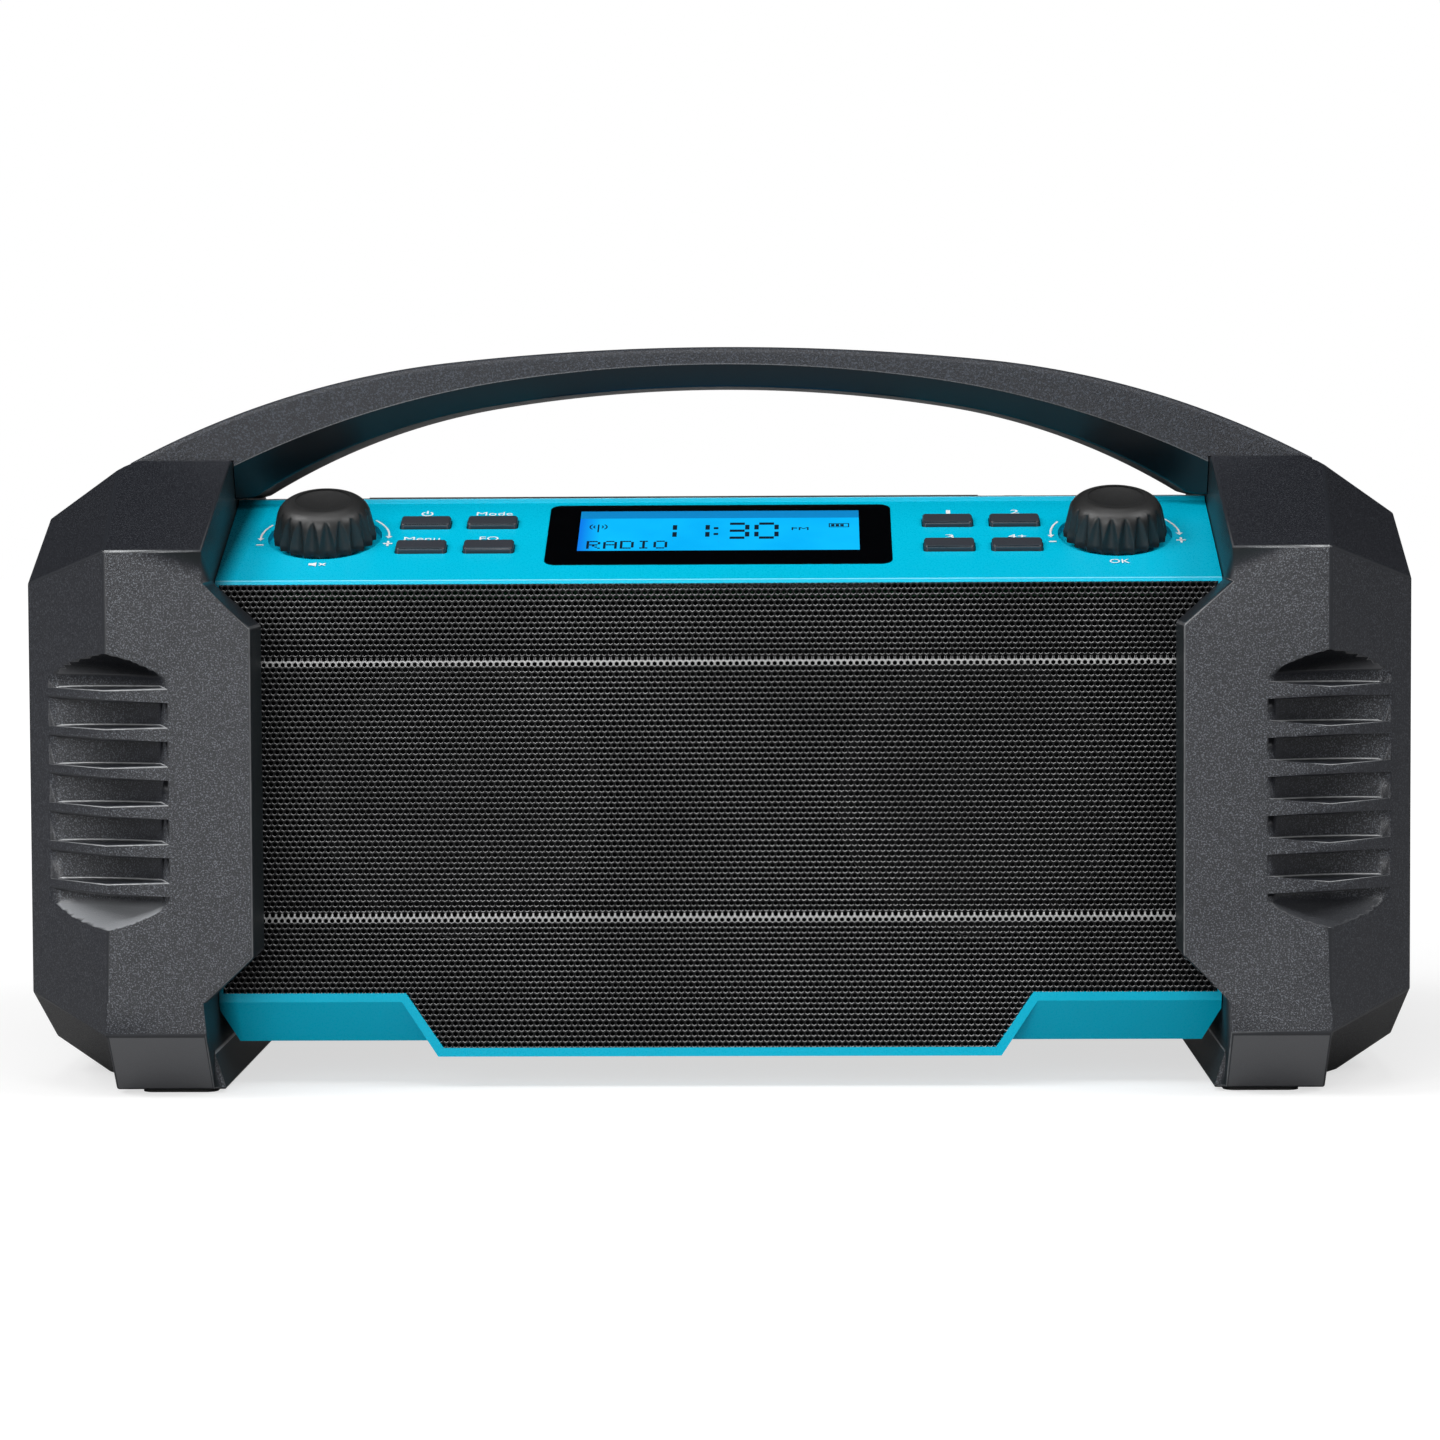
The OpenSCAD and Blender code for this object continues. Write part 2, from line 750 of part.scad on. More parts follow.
module at_bosses() {
    both_sides() for (z = boss_zs) translate([boss_x, split_y, z]) children();
}

module boss_block(y0, y1) {
    at_bosses() translate([-boss_r, y0, -boss_r]) cube([2 * boss_r, y1 - y0, 2 * boss_r]);
}

// Posts under the panel that carry the control board
module at_board_posts() {
    for (x = [lcd_w / 2 + 10, knob_x - 12.7], s = [board_s + 4, panel_len - 8]) {
        on_panel(x, s) children();
        on_panel(-x, s) children();
    }
}

// Blocks behind the baffle
module baffle_blocks() {
    both_sides() for (z = [38, 112])
        translate([cab_half - wall - 8, lip_y + rebate_d + baffle_t, z - 5])
            cube([8.5, 6, 10]);
}

module boss_hole(y0, y1, r) {
    at_bosses() translate([0, y1, 0]) rotate([90, 0, 0]) cylinder(r = r, h = y1 - y0);
}

module front_housing() {
    color([0.03, 0.72, 0.85])
    difference() {
        union() {
            difference() {
                intersection() {
                    cab_solid();
                    translate([-big / 2, front_y, 0]) cube([big, split_depth, big]);
                }
                cab_hollow();
            }
            along_y(lip_y, lip_y + 12) tongue_outline();
            boss_block(-boss_l, 0);
            at_board_posts() translate([0, 0, board_h])
                cylinder(r = post_r, h = -board_h - panel_t + 0.5);
            baffle_blocks();
        }
        along_y(lip_y - 1, lip_y + rebate_d + baffle_t) grille_outline();
        for (x = button_cols, s = button_rows) button_hole(x, s);
        for (x = [-1, 1]) on_panel(x * knob_x, knob_s, -knob_seat) {
            cylinder(r = knob_r + knob_gap, h = knob_seat + 1);
            translate([0, 0, -panel_t]) cylinder(r = bush_r + run, h = panel_t + 1);
        }
        at_board_posts() translate([0, 0, board_h - 1])
            cylinder(r = board_screw_r + run, h = 5);
        on_panel(0, window_s + window_l / 2, -window_t - 0.05)
            linear_extrude(window_t + 1)
                rounded(window_w + 2 * run, window_l + 2 * run, window_r);
        on_panel(0, lcd_s, -panel_t - 1)
            linear_extrude(panel_t + 1) square([lcd_w, lcd_l - 2], center = true);
        boss_hole(-boss_l + 2, 1, screw_r + run);
    }
}

module board_screws() {
    color("silver")
    at_board_posts() translate([0, 0, board_h - board_t - board_head_t]) {
        cylinder(r = board_screw_r, h = board_head_t + board_screw_l);
        cylinder(r = 1.9 * board_screw_r, h = board_head_t);
    }
}

module housing_seal() {
    color([0.1, 0.1, 0.1])
    difference() {
        intersection() {
            cab_solid();
            translate([-big / 2, split_y, 0]) cube([big, seal_t, big]);
        }
        along_y(split_y - 1, split_y + seal_t + 1) cab_front_outline(wall);
        boss_hole(-1, seal_t + 1, screw_r + run);
    }
}

// The rear cover's socket recess, seen from behind
module socket_recess() {
    translate([flap_x, 0, socket_z]) {
        along_y(cab_rear - flap_t - 0.3, cab_rear + 1)
            rounded(flap_w + 2 * gap, flap_h + 2 * gap, 2);
        along_y(cab_rear - socket_seat, cab_rear + 1) rounded(flap_w - 5, flap_h - 5, 2);
    }
}

module socket_holes() {
    y0 = cab_rear - socket_seat - wall - 1;
    along_y(y0, cab_rear) {
        translate([dc_x, socket_z]) circle(dc_r + run);
        translate([aux_x, socket_z]) circle(aux_r + run);
        translate([usb_x, socket_z])
            square([usb_size.x + 2 * run, usb_size.y + 2 * run], center = true);
    }
}

module battery_opening(grow = 0) {
    translate([0, door_z]) rounded(door_w + 2 * grow, door_h + 2 * grow, 1.5 + grow);
}

module knuckles(spans) {
    for (s = spans)
        translate([s[0], hinge_y, hinge_z]) rotate([0, 90, 0])
            cylinder(r = knuckle_r, h = s[1] - s[0]);
}

module hinge_bore() {
    translate([hinge_spans[0][0] - eps, hinge_y, hinge_z]) rotate([0, 90, 0])
        cylinder(r = pin_r + run, h = 2 * (hinge_spans[2][1] + eps));
}

module flap_knuckles(spans) {
    for (s = spans)
        translate([flap_hinge_x, flap_hinge_y, socket_z + s[0]]) cylinder(r = 2, h = s[1] - s[0]);
}

module rear_cover() {
    color([0.16, 0.17, 0.18])
    difference() {
        union() {
            difference() {
                intersection() {
                    cab_solid();
                    translate([-big / 2, split_y + seal_t, 0]) cube([big, big, big]);
                }
                cab_hollow();
            }
            boss_block(seal_t, cab_rear - split_y - wall + eps);
            // Box behind the sockets
            translate([flap_x, 0, socket_z])
                along_y(cab_rear - socket_seat - wall, cab_rear - wall + eps)
                    square([flap_w + 1, flap_h + 1], center = true);
            // Lugs that reach into the guards
            both_sides() for (z = guard_screw_z)
                translate([cab_half - wall, guard_rear_in - lug_t, z - 6])
                    cube([guard_screw_x - cab_half + wall + 6, lug_t, 12]);
            for (s = hinge_spans) hinge_lug(s);
            flap_knuckles(flap_cover_spans);
            antenna_pad();
        }
        along_y(cab_rear - wall - 1, cab_rear + 5) battery_opening(gap);
        for (s = door_spans) hinge_clearance(s);
        hinge_bore();
        socket_recess();
        socket_holes();
        flap_relief();
        translate([flap_hinge_x, flap_hinge_y, socket_z - 20])
            cylinder(r = flap_pin_r + run, h = 40);
        boss_hole(seal_t - 1, boss_floor + 1, screw_r + run);
        boss_hole(boss_floor, cab_rear - split_y + 1, 3.3);
        at_guard_screws() translate([0, rear_y, 0]) rotate([90, 0, 0])
            cylinder(r = screw_r + run, h = 4 * guard_wall);
        translate([elbow_x, mast_y, ledge_z - 12]) cylinder(r = 2 + run, h = 20);
    }
}

// The cover's knuckle stands on the back wall
module hinge_lug(span) {
    knuckles([span]);
    translate([span[0], cab_rear - eps, hinge_z - knuckle_r])
        cube([span[1] - span[0], hinge_y - cab_rear + eps, 2 * knuckle_r]);
}

// Room for the door's knuckles as they turn
module hinge_clearance(span) {
    translate([span[0] - gap, hinge_y, hinge_z]) rotate([0, 90, 0])
        cylinder(r = knuckle_r + gap, h = span[1] - span[0] + 2 * gap);
    translate([span[0] - gap, cab_rear - wall, hinge_z])
        cube([span[1] - span[0] + 2 * gap, wall + 5, 6]);
}

// Room for the flap's knuckle and its arm
module flap_relief() {
    translate([flap_hinge_x, flap_hinge_y, socket_z - 5.2]) cylinder(r = 2 + gap, h = 10.4);
    translate([flap_hinge_x, cab_rear - flap_t - 0.3, socket_z - 5.2])
        cube([4, flap_t + 2, 10.4]);
}

module antenna_pad() {
    translate([elbow_x, mast_y, ledge_z - 10])
        cylinder(r = 4.6, h = 10);
}

module cover_screws() {
    color("silver")
    at_bosses() translate([0, boss_floor, 0]) rotate([90, 0, 0])
        screw(boss_floor + boss_l - 3);
}

// ---------- front ----------

// Side view of the grille's front surface, pushed back by t
function grille_line(t) =
    let (face_y = lip_y + grille_set + t)
    concat([[face_y, lip_z]],
           [for (z = [top_crease_z, low_crease_z]) each
               [[face_y, z + crease_h], [face_y + crease_d, z + crease_fall], [face_y, z]]],
           [[face_y, 0]]);

module speaker_grille() {
    back = grille_line(sheet_t);
    color([0.07, 0.07, 0.08])
    intersection() {
        along_x(-cab_half, cab_half)
            polygon(concat(grille_line(0), [for (i = [len(back) - 1 : -1 : 0]) back[i]]));
        along_y(lip_y - 1, lip_y + 10) grille_outline();
    }
}

module baffle() {
    y0 = lip_y + rebate_d;
    color([0.04, 0.04, 0.04])
    difference() {
        along_y(y0, y0 + baffle_t) intersection() {
            grille_outline(-0.1);
            square([big, 2 * (lip_z - panel_t - 1.6)], center = true);
        }
        both_sides() translate([speaker_x, y0 - 1, speaker_z]) rotate([-90, 0, 0])
            cylinder(r = speaker_r, h = baffle_t + 2);
    }
}

basket_r = speaker_r + 6;
basket_y = lip_y + rebate_d + baffle_t;
basket_d = 24;
magnet_r = 22;
magnet_t = 10;

module at_speaker() {
    translate([speaker_x, basket_y, speaker_z]) rotate([-90, 0, 0]) children();
}

module speaker_frame() {
    color([0.2, 0.2, 0.2])
    at_speaker() difference() {
        rotate_extrude() polygon([
            [speaker_r - 2, 0], [basket_r, 0], [basket_r, 2], [speaker_r, 2],
            [magnet_r, basket_d], [8, basket_d], [8, basket_d - 2],
            [magnet_r - 1.5, basket_d - 2], [speaker_r - 2, 1.2]]);
        for (a = [0 : 60 : 300]) rotate(a)
            translate([magnet_r + 6, 0, basket_d / 2 + 1]) cube([9, 16, basket_d - 8], center = true);
    }
}

module speaker_cone() {
    r = speaker_r - 0.2;
    color([0.1, 0.1, 0.11])
    at_speaker() rotate_extrude() polygon([
        [r, -0.8], [r - 3, -0.9], [r - 5, -2.9], [r - 7, -1.2], [10, 11.4], [0, 7],
        [0, 8], [10, 12.6], [r - 7.4, 0], [r - 5, -1.7], [r - 3.4, 0], [r, 0]]);
}

module speaker_magnet() {
    color([0.3, 0.3, 0.32])
    at_speaker() translate([0, 0, basket_d]) {
        cylinder(r = magnet_r + 2, h = magnet_t);
        cylinder(r = magnet_r, h = magnet_t + 3);
    }
}

module right_speaker_frame() { speaker_frame(); }
module left_speaker_frame() { mirror([1, 0, 0]) speaker_frame(); }
module right_speaker_cone() { speaker_cone(); }
module left_speaker_cone() { mirror([1, 0, 0]) speaker_cone(); }
module right_speaker_magnet() { speaker_magnet(); }
module left_speaker_magnet() { mirror([1, 0, 0]) speaker_magnet(); }

// ---------- control panel ----------

module display_window() {
    color([0.02, 0.02, 0.03])
    on_panel(0, window_s + window_l / 2, -window_t - 0.05)
        linear_extrude(window_t) rounded(window_w - 2 * run, window_l - 2 * run, window_r);
}

module lcd_panel() {
    color([0.3, 0.6, 1])
    on_panel(0, lcd_s, -panel_t - lcd_t)
        translate([-lcd_w / 2 - 1, -lcd_l / 2 - 1, 0]) cube([lcd_w + 2, lcd_l + 2, lcd_t]);
}

module lcd_holder() {
    color([0.8, 0.8, 0.8])
    on_panel(0, lcd_s, board_h) difference() {
        translate([-lcd_w / 2 - lcd_rim, -lcd_l / 2 - lcd_rim, 0])
            cube([lcd_w + 2 * lcd_rim, lcd_l + 2 * lcd_rim, -board_h - panel_t - 0.2]);
        translate([-lcd_w / 2 - 1 - run, -lcd_l / 2 - 1 - run, -board_h - panel_t - lcd_t])
            cube([lcd_w + 2 + 2 * run, lcd_l + 2 + 2 * run, 5]);
    }
}

module control_board() {
    color([0.05, 0.3, 0.15])
    difference() {
        on_panel(-knob_x - 12, board_s, board_h - board_t)
            cube([2 * knob_x + 24, panel_len - 4 - board_s, board_t]);
        at_board_posts() translate([0, 0, board_h - board_t - 1])
            cylinder(r = board_screw_r + run, h = board_t + 2);
    }
}

bush_top = 0.4;
shaft_top = 7;

module encoder(x) {
    color([0.5, 0.5, 0.52])
    on_panel(x, knob_s, 0) difference() {
        union() {
            translate([-6, -6.5, board_h]) cube([12, 13, -board_h - panel_t - 0.2]);
            translate([0, 0, board_h + 1]) cylinder(r = bush_r - run, h = bush_top - board_h - 1);
        }
        translate([0, 0, board_h + 1.2]) cylinder(r = shaft_r + run, h = 20);
    }
}

module shaft(x) {
    color("silver")
    on_panel(x, knob_s, board_h + 1.4) difference() {
        cylinder(r = shaft_r, h = shaft_top - board_h - 1.4);
        translate([shaft_r - 1, -5, bush_top + 0.2 - board_h - 1.4]) cube([5, 10, 20]);
    }
}

// A domed, fluted knob with a shallow dish on top
// A knob's side leans in and turns over into a round shoulder
knob_lean = 12.6;
shoulder_r = 5;
shoulder_x = knob_r - (knob_h - shoulder_r - knob_foot) * tan(knob_lean) - shoulder_r / cos(knob_lean);
dish_r = 30;
dish_d = 1.1;
flute_r = 1.35;
flute_d = 1.3;
flute_lean = 4.8;

module knob(x) {
    low = -knob_seat + knob_travel + 0.4;
    bore_top = bush_top + knob_travel + 0.5;
    color([0.08, 0.08, 0.09])
    on_panel(x, knob_s, 0) difference() {
        rotate_extrude($fn = 120) difference() {
            union() {
                translate([0, low]) square([knob_r, knob_foot - low]);
                polygon([
                    [0, knob_foot], [knob_r, knob_foot],
                    [shoulder_x + shoulder_r * cos(knob_lean),
                     knob_h - shoulder_r + shoulder_r * sin(knob_lean)],
                    [shoulder_x, knob_h], [0, knob_h]]);
                translate([shoulder_x, knob_h - shoulder_r]) circle(shoulder_r, $fn = 120);
            }
            translate([0, knob_h + dish_r - dish_d]) circle(dish_r, $fn = 160);
            translate([-knob_r, low - 1]) square([knob_r, knob_h * 2]);
            translate([0, low - 1]) square([bush_r + 1.3, bore_top - low + 1]);
        }
        intersection() {
            translate([0, 0, low - 1]) cylinder(r = shaft_r + run, h = shaft_top + knob_travel + 0.4 - low + 1);
            translate([-10, -5, low - 1]) cube([10 + shaft_r - 1 + run, 10, 30]);
        }
        for (i = [0 : knob_flutes - 1]) rotate(i * 360 / knob_flutes)
            translate([knob_r - flute_d + flute_r, 0, 0]) rotate([0, -flute_lean, 0])
                translate([0, 0, low - 1]) cylinder(r = flute_r, h = knob_h - low + 1);
    }
}

module volume_encoder() { encoder(-knob_x); }
module volume_shaft() { shaft(-knob_x); }
module volume_knob() { knob(-knob_x); }
module tuning_encoder() { encoder(knob_x); }
module tuning_shaft() { shaft(knob_x); }
module tuning_knob() { knob(knob_x); }

stem_r = 1.4;
stem_l = 0.5;
flange_t = 0.8;

module button(col, row) {
    color([0.13, 0.13, 0.14])
    on_panel(button_cols[col], button_rows[row], 0) {
        translate([0, 0, -panel_t - gap - eps]) linear_extrude(panel_t + gap + button_h - 0.4 + 2 * eps)
            rounded(button_w, button_l, 0.8);
        translate([0, 0, button_h - 0.4]) linear_extrude(0.4)
            rounded(button_w - 0.5, button_l - 0.5, 0.7);
        translate([0, 0, -panel_t - gap - flange_t]) linear_extrude(flange_t)
            rounded(button_w + 1.8, button_l + 1.8, 1);
        translate([0, 0, -panel_t - gap - flange_t - stem_l]) cylinder(r = stem_r, h = stem_l + eps);
    }
}

module power_button() { button(0, 1); }
module mode_button() { button(1, 1); }
module menu_button() { button(0, 0); }
module eq_button() { button(1, 0); }
module preset_1_button() { button(2, 1); }
module preset_2_button() { button(3, 1); }
module preset_3_button() { button(2, 0); }
module preset_4_button() { button(3, 0); }

module keypad(side) {
    mid_x = side * (button_in_x + button_out_x) / 2;
    mid_s = button_row_s + button_pitch_s / 2;
    mat_w = button_pitch_x + button_w - 0.3;
    mat_l = button_pitch_s + button_l + 3.8;
    mat_t = 1;
    dome_h = -board_h - panel_t - gap - flange_t - stem_l - button_travel - mat_t - 0.2;
    color([0.75, 0.75, 0.75])
    on_panel(0, 0, board_h) {
        translate([mid_x - mat_w / 2, mid_s - mat_l / 2, 0]) cube([mat_w, mat_l, mat_t]);
        for (x = [-0.5, 0.5], s = button_rows)
            translate([mid_x + x * button_pitch_x, s, mat_t - eps]) cylinder(r = 2.2, h = dome_h);
    }
}

module left_keypad() { keypad(-1); }
module right_keypad() { keypad(1); }

// ---------- inside and back ----------

module battery_tray() {
    color([0.12, 0.12, 0.12])
    difference() {
        translate([-tray_w / 2, tray_y - tray_d, door_z - tray_h / 2])
            cube([tray_w, tray_d, tray_h]);
        translate([-tray_w / 2 + tray_wall, tray_y - tray_d + tray_wall,
                   door_z - tray_h / 2 + tray_wall])
            cube([tray_w - 2 * tray_wall, tray_d, tray_h - 2 * tray_wall]);
    }
}

contact_t = 2.4;
pack_play = 0.4;                     // clearance round the battery pack

module battery_contacts() {
    color("gold")
    for (x = [-20, -7, 7, 20])
        translate([x - 2, tray_y - tray_d + tray_wall, door_z - 8]) cube([4, contact_t, 16]);
}

// The pack lies on the tray's floor
module battery_pack() {
    color([0.18, 0.2, 0.24])
    translate([0, 0, door_z - pack_play])
        along_y(tray_y - tray_d + tray_wall + contact_t, tray_y - 2)
            rounded(tray_w - 2 * (tray_wall + pack_play), tray_h - 2 * (tray_wall + pack_play), 4);
}

module battery_door() {
    color([0.16, 0.17, 0.18])
    difference() {
        union() {
            along_y(cab_rear - wall, cab_rear) battery_opening();
            knuckles(door_spans);
            for (s = door_spans)
                translate([s[0], hinge_y - 1.6, hinge_z]) cube([s[1] - s[0], 2.4, 6]);
            // Ribs for the fingers
            for (i = [0 : 2]) translate([-18, cab_rear - eps, hinge_z + door_h - 4 - i * 3.5])
                cube([36, 1.2, 1.4]);
        }
        hinge_bore();
    }
}

module door_hinge_pin() {
    color("silver")
    translate([hinge_spans[0][0], hinge_y, hinge_z]) rotate([0, 90, 0])
        cylinder(r = pin_r, h = hinge_spans[2][1] - hinge_spans[0][0]);
}

main_board_w = tray_w - 12;
main_board_l = tray_d - 6;

module main_board() {
    color([0.05, 0.3, 0.15])
    translate([0, tray_y - tray_d / 2, door_z + tray_h / 2]) {
        translate([-main_board_w / 2, -main_board_l / 2 - 1, 0])
            cube([main_board_w, main_board_l, board_t]);
        // Processor, transformer and two capacitors
        translate([-0.27 * main_board_w, 0, 0]) cube([14, 14, board_t + 1.5]);
        translate([0, -main_board_l / 4, 0]) cube([24, 16, board_t + 8]);
        for (x = [0.32, 0.41]) translate([x * main_board_w, 4, 0])
            cylinder(r = 4, h = board_t + 12);
    }
}

// A round socket with a bore, its mouth towards the back
module round_jack(x, r, bore_r) {
    color([0.1, 0.1, 0.1])
    translate([x, jack_front_y - jack_back, socket_z]) rotate([-90, 0, 0])
        difference() {
            cylinder(r = r, h = jack_back);
            translate([0, 0, 1.5]) cylinder(r = bore_r, h = jack_back);
        }
}

module dc_jack() { round_jack(dc_x, dc_r, 3.2); }
module aux_jack() { round_jack(aux_x, aux_r, 1.75); }

module usb_port() {
    color("silver")
    translate([usb_x, jack_front_y - jack_back, socket_z]) difference() {
        translate([-usb_size.x / 2, 0, -usb_size.y / 2]) cube([usb_size.x, jack_back, usb_size.y]);
        translate([-6.1, 1.5, -2.35]) cube([12.2, jack_back, 4.7]);
    }
}

module port_flap() {
    color([0.12, 0.12, 0.13])
    difference() {
        union() {
            translate([flap_x, 0, socket_z]) along_y(cab_rear - flap_t, cab_rear)
                rounded(flap_w, flap_h, 1.8);
            translate([flap_hinge_x, cab_rear - flap_t, socket_z - 4.9]) cube([4, flap_t, 9.8]);
            flap_knuckles([[-4.9, 4.9]]);
            // Pull tab
            translate([flap_x + flap_w / 2 - 5, cab_rear - eps, socket_z - 4]) cube([1.4, 1.4, 8]);
        }
        translate([flap_hinge_x, flap_hinge_y, socket_z - 20])
            cylinder(r = flap_pin_r + run, h = 40);
    }
}

module flap_pin() {
    color("silver")
    translate([flap_hinge_x, flap_hinge_y, socket_z - 9]) cylinder(r = flap_pin_r, h = 18);
}

// ---------- antenna ----------

elbow_r = 3;
fork_in = 2;                         // half the slot between the fork's ears
fork_out = 3.6;

module antenna_base() {
    color("silver")
    translate([elbow_x, mast_y, ledge_z]) difference() {
        union() {
            translate([0, 0, -8]) cylinder(r = 2, h = 8.4);
            translate([0, 0, 0.3]) cylinder(r = 4.2, h = mast_z - ledge_z - elbow_r - 0.5);
            intersection() {
                translate([-elbow_r, -fork_out, 0.3])
                    cube([2 * elbow_r, 2 * fork_out, mast_z - ledge_z + elbow_r - 0.3]);
                union() {
                    translate([-elbow_r, -fork_out, 0])
                        cube([2 * elbow_r, 2 * fork_out, mast_z - ledge_z]);
                    translate([0, fork_out, mast_z - ledge_z]) rotate([90, 0, 0])
                        cylinder(r = elbow_r, h = 2 * fork_out);
                }
            }
        }
        translate([-5, -fork_in - 0.1, mast_z - ledge_z - elbow_r - 0.2])
            cube([10, 2 * fork_in + 0.2, 20]);
        translate([0, 10, mast_z - ledge_z]) rotate([90, 0, 0])
            cylinder(r = 1 + run, h = 20);
    }
}

module antenna_pin() {
    color("silver")
    translate([elbow_x, mast_y + fork_out, mast_z]) rotate([90, 0, 0])
        cylinder(r = 1, h = 2 * fork_out);
}

// Tube number i, counted from the thickest
function tube_r(i) = mast_r - i * (mast_wall + run);
tube_step = 2.5;                     // how far each tube stands out of the last

module tube(i) {
    color("silver")
    translate([mast_x + (i == 0 ? 0 : 4 + i * 1.5), mast_y, mast_z]) rotate([0, 90, 0])
        difference() {
            cylinder(r = tube_r(i), h = mast_l - (i == 0 ? 0 : 4 + i * 1.5) + i * tube_step);
            translate([0, 0, i == 0 ? 4 : -1])
                cylinder(r = tube_r(i) - mast_wall, h = mast_l + 40);
        }
}

module antenna_mast_1() {
    tube(0);
    color("silver") difference() {
        union() {
            translate([elbow_x, mast_y + fork_in, mast_z]) rotate([90, 0, 0])
                cylinder(r = elbow_r - 0.1, h = 2 * fork_in);
            translate([elbow_x, mast_y - fork_in, mast_z - 2.2])
                cube([mast_x - elbow_x + 1, 2 * fork_in, 4.4]);
        }
        translate([elbow_x, mast_y + 10, mast_z]) rotate([90, 0, 0])
            cylinder(r = 1 + run, h = 20);
    }
}

module antenna_mast_2() { tube(1); }
module antenna_mast_3() { tube(2); }

module antenna_tip() {
    start = mast_x + 8.5;
    color("silver")
    translate([start, mast_y, mast_z]) rotate([0, 90, 0]) {
        cylinder(r = tube_r(3), h = mast_x + mast_l + 3 * tube_step - start);
        translate([0, 0, mast_x + mast_l + 3 * tube_step - start - eps])
            cylinder(r = mast_r - 0.2, h = 5);
    }
}

// The rest that the folded antenna lies in
module antenna_rest() {
    color([0.12, 0.12, 0.13])
    translate([rest_x, 0, 0]) difference() {
        translate([0, mast_y - 4.2, ledge_z]) cube([6, 8, mast_z - ledge_z - 1]);
        translate([-1, mast_y, mast_z]) rotate([0, 90, 0]) cylinder(r = mast_r + gap, h = 8);
        translate([-1, mast_y, mast_z - mast_r - gap]) cube([8, 10, 10]);
    }
}

front_housing();
rear_cover();
housing_seal();
speaker_grille();
baffle();
left_guard();
right_guard();
handle();
foot_pads();
handle_screws();
guard_screws();
cover_screws();
display_window();
lcd_panel();
lcd_holder();
control_board();
board_screws();
volume_encoder();
volume_shaft();
volume_knob();
tuning_encoder();
tuning_shaft();
tuning_knob();
power_button();
mode_button();
menu_button();
eq_button();
preset_1_button();
preset_2_button();
preset_3_button();
preset_4_button();
left_keypad();
right_keypad();
left_speaker_frame();
left_speaker_cone();
left_speaker_magnet();
right_speaker_frame();
right_speaker_cone();
right_speaker_magnet();
battery_tray();
battery_pack();
battery_contacts();
battery_door();
door_hinge_pin();
main_board();
dc_jack();
aux_jack();
usb_port();
port_flap();
flap_pin();
antenna_base();
antenna_pin();
antenna_mast_1();
antenna_mast_2();
antenna_mast_3();
antenna_tip();
antenna_rest();
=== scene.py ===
"""Looks of the jobsite radio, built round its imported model.

Lengths are millimetres until they become Blender coordinates in metres.
"""

import json
import math

import bmesh
import bpy
import numpy as np
from mathutils import Matrix, Vector

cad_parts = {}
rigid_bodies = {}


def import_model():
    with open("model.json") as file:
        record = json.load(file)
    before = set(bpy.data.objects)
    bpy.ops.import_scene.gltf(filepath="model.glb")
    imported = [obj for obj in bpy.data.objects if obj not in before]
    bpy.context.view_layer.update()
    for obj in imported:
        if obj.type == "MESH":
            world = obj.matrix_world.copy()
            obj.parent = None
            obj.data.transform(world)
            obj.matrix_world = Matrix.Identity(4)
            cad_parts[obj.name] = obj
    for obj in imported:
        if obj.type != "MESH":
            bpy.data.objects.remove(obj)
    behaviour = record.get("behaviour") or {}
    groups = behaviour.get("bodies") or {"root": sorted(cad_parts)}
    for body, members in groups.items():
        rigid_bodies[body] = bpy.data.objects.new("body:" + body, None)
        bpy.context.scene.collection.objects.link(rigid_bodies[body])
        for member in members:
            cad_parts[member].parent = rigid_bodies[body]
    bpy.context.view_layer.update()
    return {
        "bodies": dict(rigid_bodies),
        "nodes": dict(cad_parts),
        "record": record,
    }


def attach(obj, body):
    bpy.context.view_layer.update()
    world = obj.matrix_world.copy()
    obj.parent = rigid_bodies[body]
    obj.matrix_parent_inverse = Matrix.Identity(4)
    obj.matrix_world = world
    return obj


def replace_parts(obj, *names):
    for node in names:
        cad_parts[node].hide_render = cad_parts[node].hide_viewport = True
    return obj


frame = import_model()

MM = 0.001

# ---------- sizes shared with the solids ----------

PANEL_SLOPE = math.radians(21.5)
LIP_Y = -59.7
LIP_Z = 129.5
CAB_TOP = 150.1
OPENING_HALF = 126.3
FRAME_Z = 24.4
TONGUE_HALF = 79.7
TONGUE_LEAN = 9.5
TONGUE_LOW = 10.4
GRILLE_TOP = 128.4
GRILLE_SET = 0.4
CREASE_D = 1.0
CREASE_H = 4.6
CREASE_FALL = 1.7
CREASES = (43.2, 107.9)
KNOB_X = 102.2
KNOB_S = 29.1
WINDOW_TOP = -0.05
SCOOP_LOW, SCOOP_HIGH = 30, 116  # heights that hold the guards' scoops
HOLLOW_TOP = 50  # height of the top of their lowest hollow


def panel_point(x, s, h=0.0):
    """A place on the sloped panel: x across, s up the slope, h above it."""
    return Vector((
        x,
        LIP_Y + s * math.cos(PANEL_SLOPE) - h * math.sin(PANEL_SLOPE),
        LIP_Z + s * math.sin(PANEL_SLOPE) + h * math.cos(PANEL_SLOPE),
    )) * MM


# ---------- camera ----------

CAMERA_PLACE = (0.02215, -1.15165, 0.15349)
CAMERA_TURN = (1.136, 3.131, -0.271)  # azimuth, elevation and roll in degrees
CAMERA_LENS = 108.06


